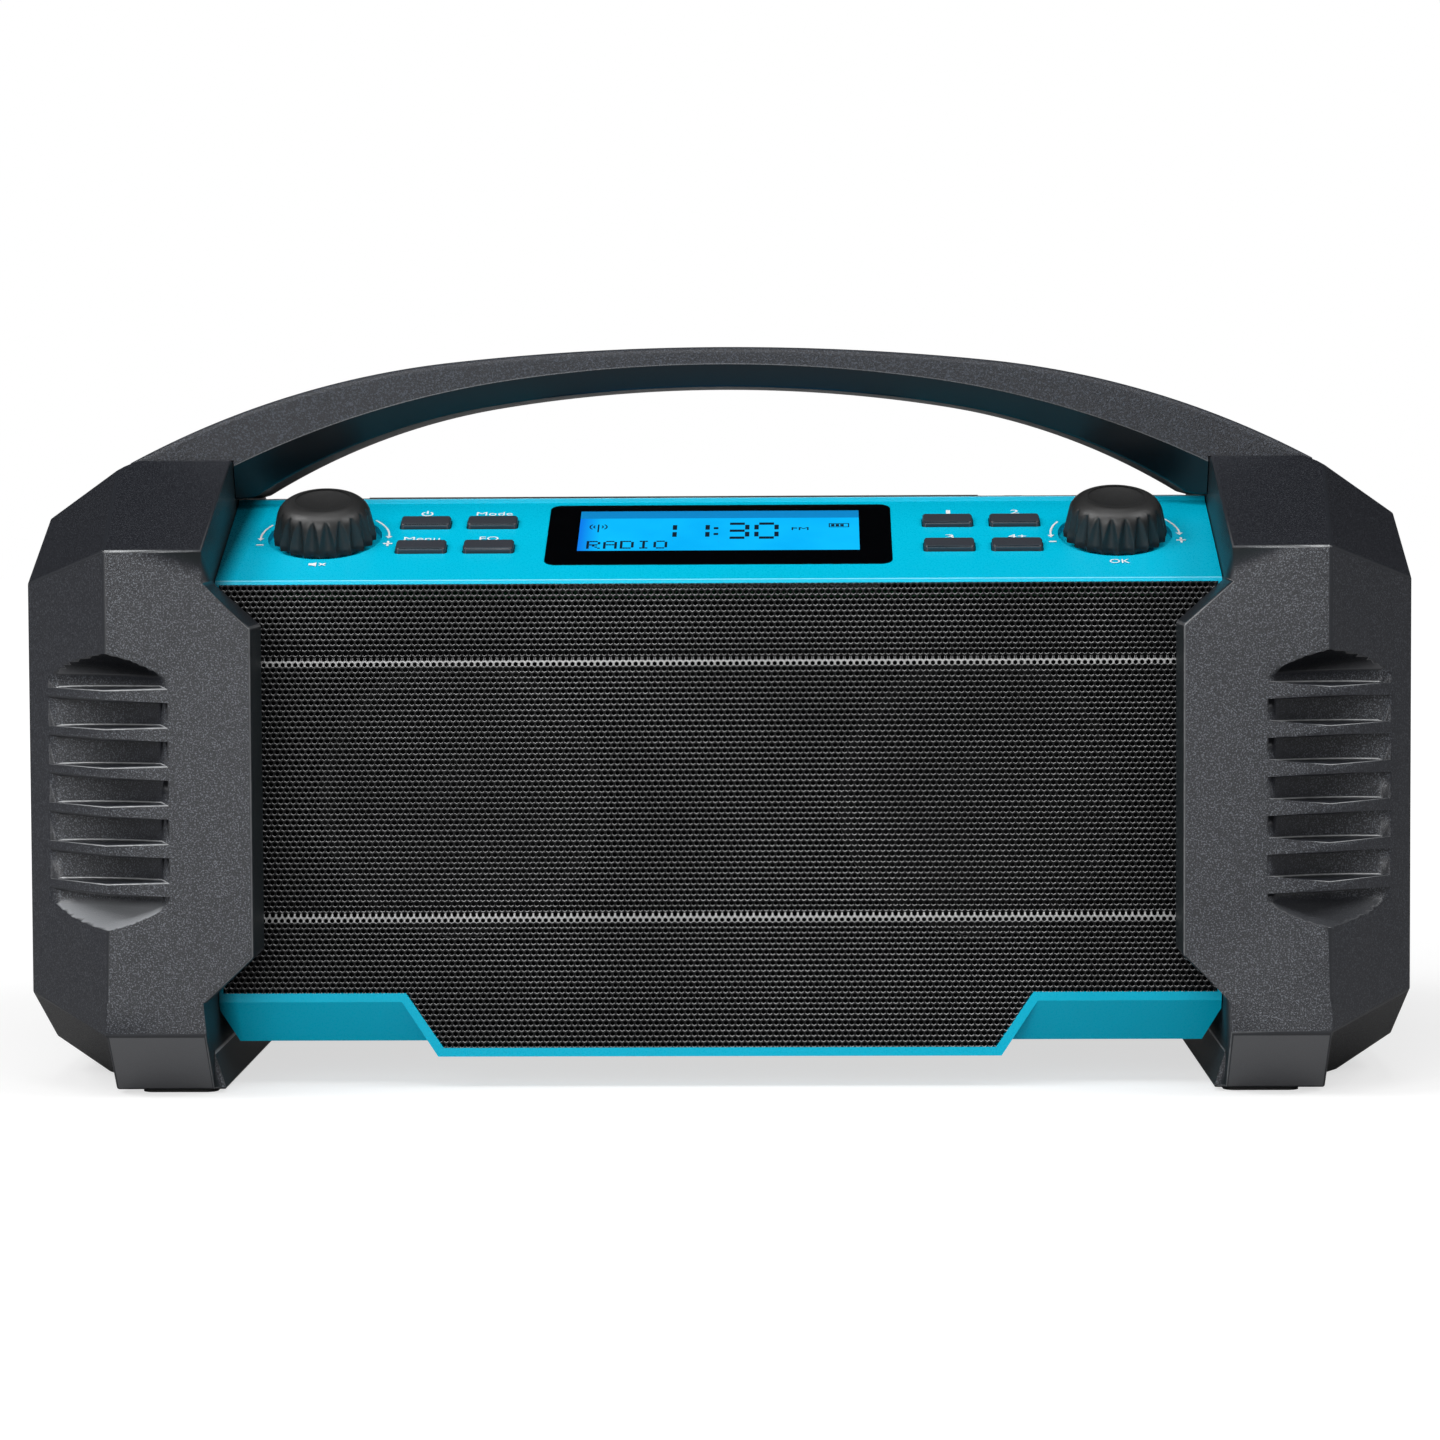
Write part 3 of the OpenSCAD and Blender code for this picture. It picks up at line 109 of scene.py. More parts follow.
def make_camera():
    """The view that was fitted to the photograph."""
    azimuth, elevation, roll = map(math.radians, CAMERA_TURN)
    forward = Vector((
        -math.sin(azimuth) * math.cos(elevation),
        math.cos(azimuth) * math.cos(elevation),
        -math.sin(elevation),
    ))
    right = Vector((math.cos(azimuth), math.sin(azimuth), 0))
    up = right.cross(forward)
    camera_right = math.cos(roll) * right + math.sin(roll) * up
    camera_up = -math.sin(roll) * right + math.cos(roll) * up
    data = bpy.data.cameras.new("camera")
    data.sensor_width = 36
    data.lens = CAMERA_LENS
    data.clip_start, data.clip_end = 0.05, 50
    camera = bpy.data.objects.new("camera", data)
    camera.matrix_world = Matrix((
        (camera_right.x, camera_up.x, -forward.x, CAMERA_PLACE[0]),
        (camera_right.y, camera_up.y, -forward.y, CAMERA_PLACE[1]),
        (camera_right.z, camera_up.z, -forward.z, CAMERA_PLACE[2]),
        (0, 0, 0, 1),
    ))
    bpy.context.scene.collection.objects.link(camera)
    bpy.context.scene.camera = camera


make_camera()


# ---------- materials ----------

class Nodes:
    """Short names for building a node tree."""

    def __init__(self, name):
        self.material = bpy.data.materials.new(name)
        self.material.use_nodes = True
        self.tree = self.material.node_tree
        self.shader = self.tree.nodes["Principled BSDF"]
        self.place = self.add("ShaderNodeTexCoord").outputs["Object"]

    def add(self, kind, **inputs):
        node = self.tree.nodes.new(kind)
        for key, value in inputs.items():
            self.set(node.inputs[key], value)
        return node

    def set(self, socket, value):
        if isinstance(value, bpy.types.NodeSocket):
            self.tree.links.new(value, socket)
        else:
            socket.default_value = value

    def noise(self, scale, detail=2.0, roughness=0.5, stretch=None):
        place = self.place
        if stretch:
            mapping = self.add("ShaderNodeMapping", Vector=place, Scale=stretch)
            place = mapping.outputs["Vector"]
        node = self.add("ShaderNodeTexNoise", Vector=place, Scale=scale,
                        Detail=detail, Roughness=roughness)
        return node.outputs["Fac"]

    def ramp(self, value, stops):
        node = self.add("ShaderNodeValToRGB", Fac=value)
        ramp = node.color_ramp
        while len(ramp.elements) < len(stops):
            ramp.elements.new(0.5)
        for element, (position, colour) in zip(ramp.elements, stops):
            element.position = position
            element.color = (*colour, 1)
        return node.outputs["Color"]

    def levels(self, value, low, high, out_low, out_high):
        node = self.add("ShaderNodeMapRange", Value=value)
        for key, number in (("From Min", low), ("From Max", high),
                            ("To Min", out_low), ("To Max", out_high)):
            node.inputs[key].default_value = number
        return node.outputs["Result"]

    def bump(self, height, distance, strength=1.0):
        node = self.add("ShaderNodeBump", Height=height, Distance=distance, Strength=strength)
        return node.outputs["Normal"]

    def math(self, operation, first, second):
        node = self.add("ShaderNodeMath")
        node.operation = operation
        self.set(node.inputs[0], first)
        self.set(node.inputs[1], second)
        return node.outputs[0]

    def mix(self, factor, first, second):
        """One colour turning into another."""
        node = self.add("ShaderNodeMixRGB", Fac=factor)
        for key, colour in (("Color1", first), ("Color2", second)):
            self.set(node.inputs[key], (*colour, 1) if isinstance(colour, tuple) else colour)
        return node.outputs["Color"]

    def dimmed(self, colour, amount):
        """A colour times a number."""
        node = self.add("ShaderNodeMixRGB", Fac=1.0, Color1=colour, Color2=amount)
        node.blend_type = "MULTIPLY"
        return node.outputs["Color"]

    def split(self, vector):
        return self.add("ShaderNodeSeparateXYZ", Vector=vector).outputs

    def facing(self):
        return self.split(self.add("ShaderNodeTexCoord").outputs["Normal"])

    def outward(self, at, turned):
        """How far a surface faces the outside in x; below zero it faces the cabinet."""
        side = self.add("ShaderNodeMath", Value=at["X"])
        side.operation = "SIGN"
        return self.math("MULTIPLY", side.outputs[0], turned["X"])

    def surface(self, **inputs):
        for key, value in inputs.items():
            self.set(self.shader.inputs[key.replace("_", " ")], value)
        return self.material


SLOW = 18  # scale of the slow change of colour over a moulding


def scaled(colour, factor):
    return tuple(c * factor for c in colour)


def moulded(name, colour, roughness=0.5, grain=1800, depth=0.05, vary=0.12, speck=0.0,
            specular=0.5):
    """Spark-textured moulded plastic: fine grain, slow colour change and light specks."""
    n = Nodes(name)
    base = n.ramp(n.noise(SLOW, 3),
                  [(0.3, scaled(colour, 1 - vary)), (0.7, scaled(colour, 1 + vary))])
    fine = n.noise(grain, 2, 0.6)
    if speck:
        dots = n.levels(n.noise(grain * 1.3, 1, 0.5), 0.62, 0.72, 0, speck)
        base = n.mix(dots, base, (0.5, 0.5, 0.52))
    rough = n.levels(fine, 0.3, 0.7, roughness - 0.07, roughness + 0.07)
    normal = n.bump(fine, depth * MM)
    return n.surface(Base_Color=base, Roughness=rough, Normal=normal,
                     Specular_IOR_Level=specular)


def guard_plastic():
    """Spark-textured in front, calmer on the slopes, plain towards the cabinet; painted shade
    darkens the shoulders, lower corners and inner walls, and painted light brightens the toes and
    lowest hollows.
    """
    n = Nodes("guard_plastic")
    at = n.split(n.place)
    turned = n.facing()
    plain = n.levels(n.outward(at, turned), -0.9, -0.6, 1, 0)
    front = n.levels(n.math("ABSOLUTE", turned["Y"], 0.0), 0.75, 0.95, 0.3, 1)
    # The toes, which face down to the front, are smoother and paler; the paleness is painted
    # light from the floor below
    toe = n.math("MULTIPLY", n.levels(turned["Z"], -0.68, -0.5, 1, 0),
                 n.levels(turned["Y"], -0.65, -0.5, 1, 0))
    # Painted shade: the shoulders and the lower corners are darker
    painted_shade = n.math("MULTIPLY", n.levels(turned["Z"], 0.45, 0.65, 1, 0.78),
                 n.levels(turned["Z"], -0.68, -0.5, 0.36, 1))
    painted_shade = n.math("MAXIMUM", painted_shade, toe)
    # A painted highlight on the lowest hollow of each scoop, where light from above falls,
    # stronger on the left guard
    hollow = n.math("MULTIPLY", n.levels(turned["Z"], 0.2, 0.8, 0, 1),
                    n.levels(turned["Z"], 0.97, 0.99, 1, 0))
    hollow = n.math("MULTIPLY", hollow, n.levels(
        at["Z"], HOLLOW_TOP * MM, (HOLLOW_TOP + 4) * MM, 1, 0))
    hollow = n.math("MULTIPLY", hollow, n.levels(at["X"], -0.05, 0.05, 1, 0.15))
    slow = n.ramp(n.noise(SLOW, 3),
                  [(0.3, (0.0088, 0.0102, 0.0155)), (0.7, (0.0108, 0.0122, 0.0180))])
    base = n.mix(toe, slow, (0.105, 0.108, 0.116))
    fine = n.noise(2300, 3, 0.65)
    dots = n.levels(n.noise(2600, 2, 0.6), 0.53, 0.62, 0, 0.26)  # light specks
    dots = n.math("MULTIPLY", n.math("MULTIPLY", dots, front), n.levels(toe, 0, 1, 1, 0.1))
    base = n.dimmed(n.mix(dots, base, (0.42, 0.46, 0.52)), painted_shade)
    base = n.mix(hollow, base, (0.26, 0.27, 0.285))
    # Towards the cabinet the colour is painted shade, tinted teal as a painted reflection of the
    # cyan panel
    base = n.mix(plain, base, (0.0005, 0.006, 0.009))
    rough = n.mix(plain, n.levels(fine, 0.3, 0.7, 0.36, 0.52), (0.5, 0.5, 0.5))
    return n.surface(Base_Color=base, Roughness=rough,
                     Normal=n.bump(fine, 0.2 * MM, n.levels(front, 0, 1, 0.1, 1)),
                     Specular_IOR_Level=n.math("MULTIPLY", painted_shade, 0.75))


def guard_edge():
    """The guards' rounded edges, with a painted highlight where they face up or the cabinet."""
    n = Nodes("guard_edge_painted_highlight")
    at = n.split(n.place)
    turned = n.facing()
    inward = n.levels(n.outward(at, turned), -0.45, -0.2, 0.45, 0)
    up = n.math("MULTIPLY", n.levels(turned["Z"], 0.12, 0.3, 0, 1),
                n.levels(turned["Z"], 0.7, 0.85, 1, 0))
    # Above the scoops the painted highlight is only on the edge across the front face
    across = n.levels(n.math("ABSOLUTE", turned["X"], 0.0), 0.12, 0.25, 1, 0)
    beside = n.levels(at["Z"], (SCOOP_HIGH - 1) * MM, (SCOOP_HIGH + 4) * MM, 1, 0)
    up = n.math("MULTIPLY", up, n.math("MAXIMUM", across, beside))
    inward = n.math("MULTIPLY", inward, n.levels(turned["Y"], -0.6, -0.4, 1, 0))
    painted_highlight = n.math("MAXIMUM", up, inward)
    painted_highlight = n.math("MULTIPLY", painted_highlight, n.levels(n.noise(420, 3, 0.6), 0.3, 0.6, 0.6, 1))
    base = n.mix(painted_highlight, (0.014, 0.016, 0.021), (0.3, 0.31, 0.32))
    return n.surface(Base_Color=base, Roughness=n.levels(painted_highlight, 0, 1, 0.4, 0.28),
                     Normal=n.bump(n.noise(1700, 2), 0.03 * MM), Specular_IOR_Level=0.7)


def handle_plastic():
    """Textured like the guards, but smooth on the faces turned down, which are darker: painted
    shade, tinted blue as a painted reflection of the cyan panel.
    """
    n = Nodes("handle_plastic")
    smooth = n.levels(n.facing()["Z"], -0.3, -0.15, 1, 0)
    base = n.ramp(n.noise(SLOW, 3),
                  [(0.3, (0.0155, 0.0172, 0.0225)), (0.7, (0.0175, 0.0192, 0.0245))])
    dots = n.math("MULTIPLY", n.levels(n.noise(2500, 2, 0.6), 0.5, 0.64, 0, 0.1),
                  n.levels(smooth, 0, 1, 1, 0))
    base = n.mix(dots, base, (0.4, 0.47, 0.6))
    # Painted shade on the faces turned down, with a blue tint as a painted reflection
    base = n.mix(smooth, base, (0.002, 0.0045, 0.007))
    fine = n.noise(1900, 3, 0.65)
    rough = n.mix(smooth, n.levels(fine, 0.3, 0.7, 0.43, 0.57), (0.3, 0.3, 0.3))
    grain = n.bump(fine, 0.2 * MM, n.levels(smooth, 0, 1, 1, 0.02))
    return n.surface(Base_Color=base, Roughness=rough, Normal=grain)


def metal(name, colour, roughness=0.25, brushed=None, depth=0.01):
    """Bare metal; brushed stretches its lines along an axis."""
    n = Nodes(name)
    lines = n.noise(900, 3, 0.6, stretch=brushed or (1, 1, 1))
    slow = n.noise(30, 2)
    base = n.ramp(slow, [(0.3, scaled(colour, 0.92)), (0.7, scaled(colour, 1.05))])
    rough = n.levels(lines, 0.3, 0.7, roughness * 0.8, roughness * 1.25)
    return n.surface(Base_Color=base, Metallic=1.0, Roughness=rough,
                     Normal=n.bump(lines, depth * MM))


def cyan_plastic():
    """Smooth cyan, with a painted highlight and a painted reflection on its two long edges,
    painted shade in one corner and behind the grille.
    """
    n = Nodes("cyan_plastic")
    at = n.split(n.place)
    fine = n.noise(2400, 2, 0.6)
    colour = n.ramp(n.noise(SLOW, 3), [(0.3, (0.0, 0.456, 0.66)), (0.7, (0.0, 0.484, 0.70))])
    # Painted highlight on the lip's edge, painted reflection on the pale rear top strip
    lip = n.math("MULTIPLY", n.levels(at["Z"], (LIP_Z - 0.25) * MM, (LIP_Z - 0.1) * MM, 0, 1),
                 n.levels(at["Y"], (LIP_Y + 0.5) * MM, (LIP_Y + 0.7) * MM, 1, 0))
    lip = n.math("MAXIMUM", lip, n.levels(at["Z"], (CAB_TOP - 0.6) * MM, CAB_TOP * MM, 0, 0.5))
    colour = n.mix(lip, colour, (0.65, 0.93, 0.98))
    # Painted shade in the corner beside the left guard, wider towards the back
    reach = n.math("MULTIPLY", n.math("SUBTRACT", at["Y"], LIP_Y * MM), -0.08)
    colour = n.dimmed(colour, n.levels(n.math("ADD", at["X"], reach), -0.1276, -0.1225, 0.12, 1))
    # Painted shade behind the grille, below the lip and above the frame
    within = n.math("MULTIPLY", n.levels(at["Y"], (LIP_Y + 1.2) * MM, (LIP_Y + 1.4) * MM, 0, 1),
                    n.levels(at["Z"], (LIP_Z - 1.5) * MM, (LIP_Z - 1.3) * MM, 1, 0))
    within = n.math("MULTIPLY", within,
                    n.levels(at["Z"], (FRAME_Z - 0.2) * MM, FRAME_Z * MM, 0, 1))
    colour = n.mix(within, colour, (0.002, 0.002, 0.002))
    return n.surface(Base_Color=colour, Roughness=n.levels(fine, 0.3, 0.7, 0.23, 0.37),
                     Normal=n.bump(fine, 0.012 * MM), Specular_IOR_Level=0.2)


def coated_steel():
    n = Nodes("black_coated_steel")
    fine = n.noise(2600, 2, 0.6)
    slow = n.noise(14, 3)
    base = n.ramp(slow, [(0.3, (0.006, 0.0064, 0.007)), (0.7, (0.009, 0.0094, 0.0102))])
    rough = n.levels(fine, 0.3, 0.7, 0.3, 0.42)
    return n.surface(Base_Color=base, Roughness=rough,
                     Normal=n.bump(fine, 0.01 * MM), Specular_IOR_Level=0.2)


def polished_black():
    n = Nodes("polished_black")
    slow = n.noise(40, 2)
    base = n.ramp(slow, [(0.3, (0.0006, 0.0007, 0.001)), (0.7, (0.0009, 0.001, 0.0014))])
    rough = n.levels(n.noise(300, 2), 0.3, 0.7, 0.05, 0.09)
    return n.surface(Base_Color=base, Roughness=rough, Specular_IOR_Level=0.3)


def board_laminate():
    n = Nodes("board_laminate")
    tracks = n.noise(220, 2, 0.5, stretch=(1, 4, 1))
    base = n.ramp(tracks, [(0.42, (0.008, 0.07, 0.025)), (0.5, (0.015, 0.13, 0.045))])
    return n.surface(Base_Color=base, Roughness=0.35, Normal=n.bump(tracks, 0.03 * MM))


def cone_paper():
    n = Nodes("cone_paper")
    fibres = n.noise(900, 4, 0.7, stretch=(1, 1, 0.3))
    base = n.ramp(fibres, [(0.35, (0.0025, 0.0025, 0.0027)), (0.65, (0.004, 0.004, 0.0043))])
    return n.surface(Base_Color=base, Roughness=0.8, Normal=n.bump(fibres, 0.05 * MM))


GUARD = guard_plastic()
GUARD_EDGE = guard_edge()
# The handle's band edge is paler: a painted highlight
HANDLE_EDGE = moulded("handle_edge_painted_highlight", (0.085, 0.088, 0.095), 0.27, 900, 0.03, 0.4,
                      specular=0.75)
# Pale steel on the grille's upward hole rims and on its creases: painted highlights
STEEL_EDGE = moulded("grille_rim_painted_highlight", (0.33, 0.33, 0.335), 0.25, 1500, 0.01, 0.3,
                     specular=0.7)
CREASE_EDGE = moulded("crease_painted_highlight", (0.3, 0.3, 0.3), 0.25, 1500, 0.01, 0.2, specular=0.7)
# The buttons' rounded edges are paler: a painted highlight
BUTTON_EDGE = moulded("button_edge", (0.06, 0.067, 0.08), 0.3, 2600, 0.01, 0.06)
HANDLE = handle_plastic()
CYAN = cyan_plastic()
COVER = moulded("cover_plastic", (0.028, 0.029, 0.033), 0.52, 1500, 0.06, 0.1, 0.12)
STEEL = coated_steel()
BLACK = moulded("black_plastic", (0.012, 0.012, 0.013), 0.55, 1500, 0.03)
BAFFLE = moulded("baffle_cloth", (0.003, 0.003, 0.0033), 0.9, 1500, 0.03, specular=0.1)
RUBBER = moulded("foot_rubber", (0.012, 0.012, 0.013), 0.75, 1200, 0.05)
KNOB = moulded("knob_plastic", (0.0125, 0.0125, 0.0125), 0.42, 2600, 0.015, 0.06,
               specular=0.65)
BUTTON = moulded("button_plastic", (0.030, 0.034, 0.043), 0.45, 2600, 0.02, 0.06)
WINDOW = polished_black()
WHITE = moulded("white_plastic", (0.62, 0.62, 0.6), 0.5, 1500, 0.02, 0.03)
SILICONE = moulded("keypad_silicone", (0.4, 0.4, 0.4), 0.6, 1500, 0.02, 0.05)
BOARD = board_laminate()
CONE = cone_paper()
PACK = moulded("battery_plastic", (0.045, 0.05, 0.065), 0.45, 1500, 0.04)
ZINC = metal("zinc_steel", (0.5, 0.5, 0.51), 0.35)
DULL = metal("dull_steel", (0.16, 0.16, 0.165), 0.5)
BRASS = metal("contact_brass", (0.78, 0.56, 0.24), 0.25)
CHROME = metal("antenna_chrome", (0.85, 0.85, 0.86), 0.3, brushed=(0.05, 1, 1), depth=0.003)

SLOT_MATERIALS = {
    "guard_plastic": GUARD, "handle_plastic": HANDLE, "cyan_plastic": CYAN,
    "cover_plastic": COVER, "grille_steel": STEEL, "inner_plastic": BLACK,
    "foot_rubber": RUBBER, "seal_rubber": RUBBER, "knob_plastic": KNOB,
    "button_plastic": BUTTON, "window_plastic": WINDOW, "lcd_glass": WINDOW,
    "white_plastic": WHITE, "board_laminate": BOARD, "keypad_silicone": SILICONE,
    "spring_steel": ZINC, "cone_paper": CONE, "magnet_steel": DULL,
    "battery_plastic": PACK, "contact_brass": BRASS, "screw_steel": ZINC,
    "socket_plastic": BLACK, "antenna_chrome": CHROME,
}

for part in frame["record"]["subparts"]:
    # The baffle is faced with cloth, unlike the other pieces of its slot
    material = BAFFLE if part["node"] == "baffle" else SLOT_MATERIALS[part["material_slot"]]
    for slot in frame["nodes"][part["node"]].material_slots:
        slot.material = material


# ---------- mesh helpers ----------

def new_object(name, mesh, material, body="radio"):
    """A piece that rides on a body."""
    mesh.materials.append(material)
    piece = bpy.data.objects.new(name, mesh)
    bpy.context.scene.collection.objects.link(piece)
    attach(piece, body)
    return piece


def shade(mesh, degrees):
    """Smooth shading, broken at edges sharper than an angle."""
    mesh.polygons.foreach_set("use_smooth", [True] * len(mesh.polygons))
    mesh.set_sharp_from_angle(angle=math.radians(degrees))


def finished(work, name, degrees=None):
    """The mesh of a form that is complete."""
    mesh = bpy.data.meshes.new(name)
    work.to_mesh(mesh)
    work.free()
    if degrees:
        shade(mesh, degrees)
    return mesh


def even_shading(piece):
    weighted = piece.modifiers.new("even shading", "WEIGHTED_NORMAL")
    weighted.keep_sharp = True


def body_of(name):
    """The body that a node belongs to."""
    empty = frame["nodes"][name].parent
    return next(body for body, holder in frame["bodies"].items() if holder is empty)


# ---------- moulded edges ----------

def upright_and_short(edge):
    """True for the sides of the scoops' floors between the ribs, which run out softly."""
    run = edge.verts[1].co - edge.verts[0].co
    return abs(run.z) > 0.95 * run.length and run.length < 12 * MM


def at_hollow(edge):
    """True at the rim of a scoop's hollow end, which stays crisp."""
    return any(0.1 < abs(face.normal.z) < 0.98 and abs(face.normal.y) > 0.05
               and SCOOP_LOW * MM < face.calc_center_median().z < SCOOP_HIGH * MM
               for face in edge.link_faces)


EASE_STEPS = 3
SEAM = 0.002  # vertices nearer than this are one
FLAT_TURN = 0.3  # degrees between faces that count as one plane


def eased(name, width, material, edge_material, turn=12, shortest=2.5):
    """A node's form with its long edges rounded over, as a mould leaves them; the rounded faces
    take the edge material, a painted highlight.

    turn is the least angle in degrees and shortest the least length of an edge that is rounded.
    """
    node = frame["nodes"][name]
    work = bmesh.new()
    work.from_mesh(node.data)
    work.transform(node.matrix_world)
    bmesh.ops.remove_doubles(work, verts=work.verts, dist=SEAM * MM)
    bmesh.ops.dissolve_limit(work, angle_limit=math.radians(FLAT_TURN), verts=work.verts,
                             edges=work.edges)
    places = np.array([vertex.co for vertex in work.verts])
    low, high = places.min(0), places.max(0)
    edges = [
        edge for edge in work.edges
        if len(edge.link_faces) == 2 and edge.calc_length() > shortest * MM
        and edge.calc_face_angle() > math.radians(turn)
        and not upright_and_short(edge) and not at_hollow(edge)
    ]
    rounded = bmesh.ops.bevel(work, geom=edges, offset=width * MM, offset_type="OFFSET",
                              segments=EASE_STEPS, profile=0.5, affect="EDGES",
                              clamp_overlap=False)
    for face in rounded["faces"]:
        face.material_index = 1
    # Rounding may push a corner out, so nothing leaves the node's own box
    for vertex in work.verts:
        vertex.co = Vector(np.clip(vertex.co, low, high))
    bmesh.ops.triangulate(work, faces=[f for f in work.faces if len(f.verts) > 4])
    mesh = finished(work, name + "_form", 32)
    piece = new_object(name + "_form", mesh, material, body_of(name))
    mesh.materials.append(edge_material)
    even_shading(piece)
    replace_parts(piece, name)


for name in ("left_guard", "right_guard"):
    eased(name, 0.6, GUARD, GUARD_EDGE)
for name in ("power", "mode", "menu", "eq", "preset_1", "preset_2", "preset_3", "preset_4"):
    eased(name + "_button", 0.3, BUTTON, BUTTON_EDGE,
          turn=30, shortest=3)


# ---------- knobs ----------

KNOB_R = 13.4
KNOB_H = 10.3
KNOB_LEAN = math.radians(12.6)
KNOB_LOW = -0.8
SHOULDER_R = 5.0
DISH_R = 30.0
DISH_D = 1.1
FLUTES = 20
FLUTE_D = 1.35
FLUTE_TOP = 8.3
FLUTE_STEPS = 12
FLUTE_FROM_R = 7.0  # the ring under the foot stays round
FLUTE_SPREAD = 1.15  # how fast a flute widens below its end
KNOB_WIDEST = 0.6  # height where the knob is widest
KNOB_CORE_R = 6.0  # of the last ring under the foot


def knob_profile():
    """Radius and height from the middle of the dish to the foot."""
    dish_edge = math.sqrt(DISH_R ** 2 - (DISH_R - DISH_D) ** 2)
    points = [(r, KNOB_H - DISH_D + DISH_R - math.sqrt(DISH_R ** 2 - r ** 2))
              for r in np.linspace(0.3, dish_edge - 0.3, 8)]
    points.append((dish_edge, KNOB_H - 0.03))
    rise = KNOB_H - SHOULDER_R
    side_x = KNOB_R - (rise + SHOULDER_R * math.sin(KNOB_LEAN) - KNOB_WIDEST) * math.tan(
        KNOB_LEAN)
    centre = side_x - SHOULDER_R * math.cos(KNOB_LEAN)
    for i in range(13):
        turn = math.radians(90) - (math.radians(90) - KNOB_LEAN) * i / 12
        points.append((centre + SHOULDER_R * math.cos(turn), rise + SHOULDER_R * math.sin(turn)))
    for h in np.linspace(points[-1][1], KNOB_WIDEST, 14)[1:]:
        points.append((KNOB_R - (h - KNOB_WIDEST) * math.tan(KNOB_LEAN), h))
    return points + [(KNOB_R - 0.15, KNOB_LOW), (KNOB_CORE_R, KNOB_LOW)]


def knob_form(name, x):
    """A dished knob whose flutes run out below its shoulder."""
    work = bmesh.new()
    around = FLUTES * FLUTE_STEPS
    rings = []
    for r, h in knob_profile():
        reach = max(0.0, 1 - h / FLUTE_TOP)
        ring = []
        for i in range(around):
            off = abs((i / FLUTE_STEPS + 0.5) % 1 - 0.5) * 2
            width = max(1e-6, min(1.0, FLUTE_SPREAD * math.sqrt(reach)))
            cut = FLUTE_D * reach ** 0.35 * max(0.0, 1 - (off / width) ** 2)
            cut = cut if r > FLUTE_FROM_R else 0
            t = 2 * math.pi * (i / FLUTE_STEPS + 0.5) / FLUTES
            ring.append(work.verts.new(panel_point(
                x + (r - cut) * math.cos(t), KNOB_S + (r - cut) * math.sin(t), h)))
        rings.append(ring)
    for a, b in zip(rings, rings[1:]):
        for i in range(around):
            j = (i + 1) % around
            work.faces.new([a[i], b[i], b[j], a[j]])
    work.faces.new(rings[0])
    work.faces.new(rings[-1][::-1])
    bmesh.ops.recalc_face_normals(work, faces=work.faces)
    mesh = finished(work, name + "_form", 40)
    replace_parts(new_object(name + "_form", mesh, KNOB, body_of(name)), name)


knob_form("volume_knob", -KNOB_X)
knob_form("tuning_knob", KNOB_X)


# ---------- the handle ----------

HANDLE_HALF = 154.4
HANDLE_FRONT = -21.0
HANDLE_CROWN = 189.1
BAR_HALF = 127.3
BAND = 4.4
FACET = 6.0
FACET_LEAN = math.radians(24)
TOP_ARCH = (680, 235, 70)
EDGE_ARCH = (383, 251, 55)
LOW_ARCH = (376, 170, 60)
GUARD_TOP = 160.1
CREST_X, CREST_TURN, CREST_DROP = 154.7, 151.8, 1.3
TOP_ROUND = 1.7
EDGE_ROUND = 0.9
TIP = 0.8  # thickness of the handle's tips
TIP_START = 153.1


def fall(x, arch):
    """How far a three-centred arch lies below its crown."""
    middle, end, join = arch
    u = abs(x)
    angle = math.asin(join / middle)
    if u <= join:
        return middle - math.sqrt(middle ** 2 - u ** 2)
    shift = middle - end
    return middle - shift * math.cos(angle) - math.sqrt(
        end ** 2 - (u - shift * math.sin(angle)) ** 2)


TOP_FALL = (HANDLE_CROWN - (GUARD_TOP - CREST_DROP) - TIP) / fall(HANDLE_HALF, TOP_ARCH)


def corner(radius, y, z, start, end, steps=5):
    """Points round a quarter or less, from one angle to another, in degrees."""
    return [(y + radius * math.cos(t), z + radius * math.sin(t))
            for t in (math.radians(start + (end - start) * i / steps) for i in range(steps + 1))]


def bar_section(x):
    """Front half of the bar's section: top, band, smooth facet, underside."""
    top = HANDLE_CROWN - fall(x, TOP_ARCH) * TOP_FALL
    edge = HANDLE_CROWN - BAND - fall(x, EDGE_ARCH)
    low = max(HANDLE_CROWN - BAND - FACET - fall(x, LOW_ARCH), CAB_TOP)
    run = HANDLE_FRONT + (edge - low) * math.tan(FACET_LEAN)
    turn = 90 + math.degrees(FACET_LEAN)
    return ([(0, top), (HANDLE_FRONT / 2, top)]
            + corner(TOP_ROUND, HANDLE_FRONT + TOP_ROUND, top - TOP_ROUND, 90, 180)
            + corner(EDGE_ROUND, HANDLE_FRONT + EDGE_ROUND, edge + 0.1, 180, 90 + turn, 3)
            + [(run, low + 0.5), (run + 0.4, low + 0.12), (run + 1, low), (0, low)])


def seat_section(x):
    """Front half of a handle end, which thins out on the guard's top."""
    top = HANDLE_CROWN - fall(x, TOP_ARCH) * TOP_FALL
    foot = GUARD_TOP - max(0, x - CREST_TURN) * CREST_DROP / (CREST_X - CREST_TURN)
    thin = min(TOP_ROUND, (top - foot) * 0.8)
    edge = [(y, top - (top - z) * thin / TOP_ROUND)
            for y, z in corner(TOP_ROUND, HANDLE_FRONT + TOP_ROUND, top - TOP_ROUND, 90, 180)]
    return [(0, top), (HANDLE_FRONT / 2, top)] + edge + [(HANDLE_FRONT, foot), (0, foot)]


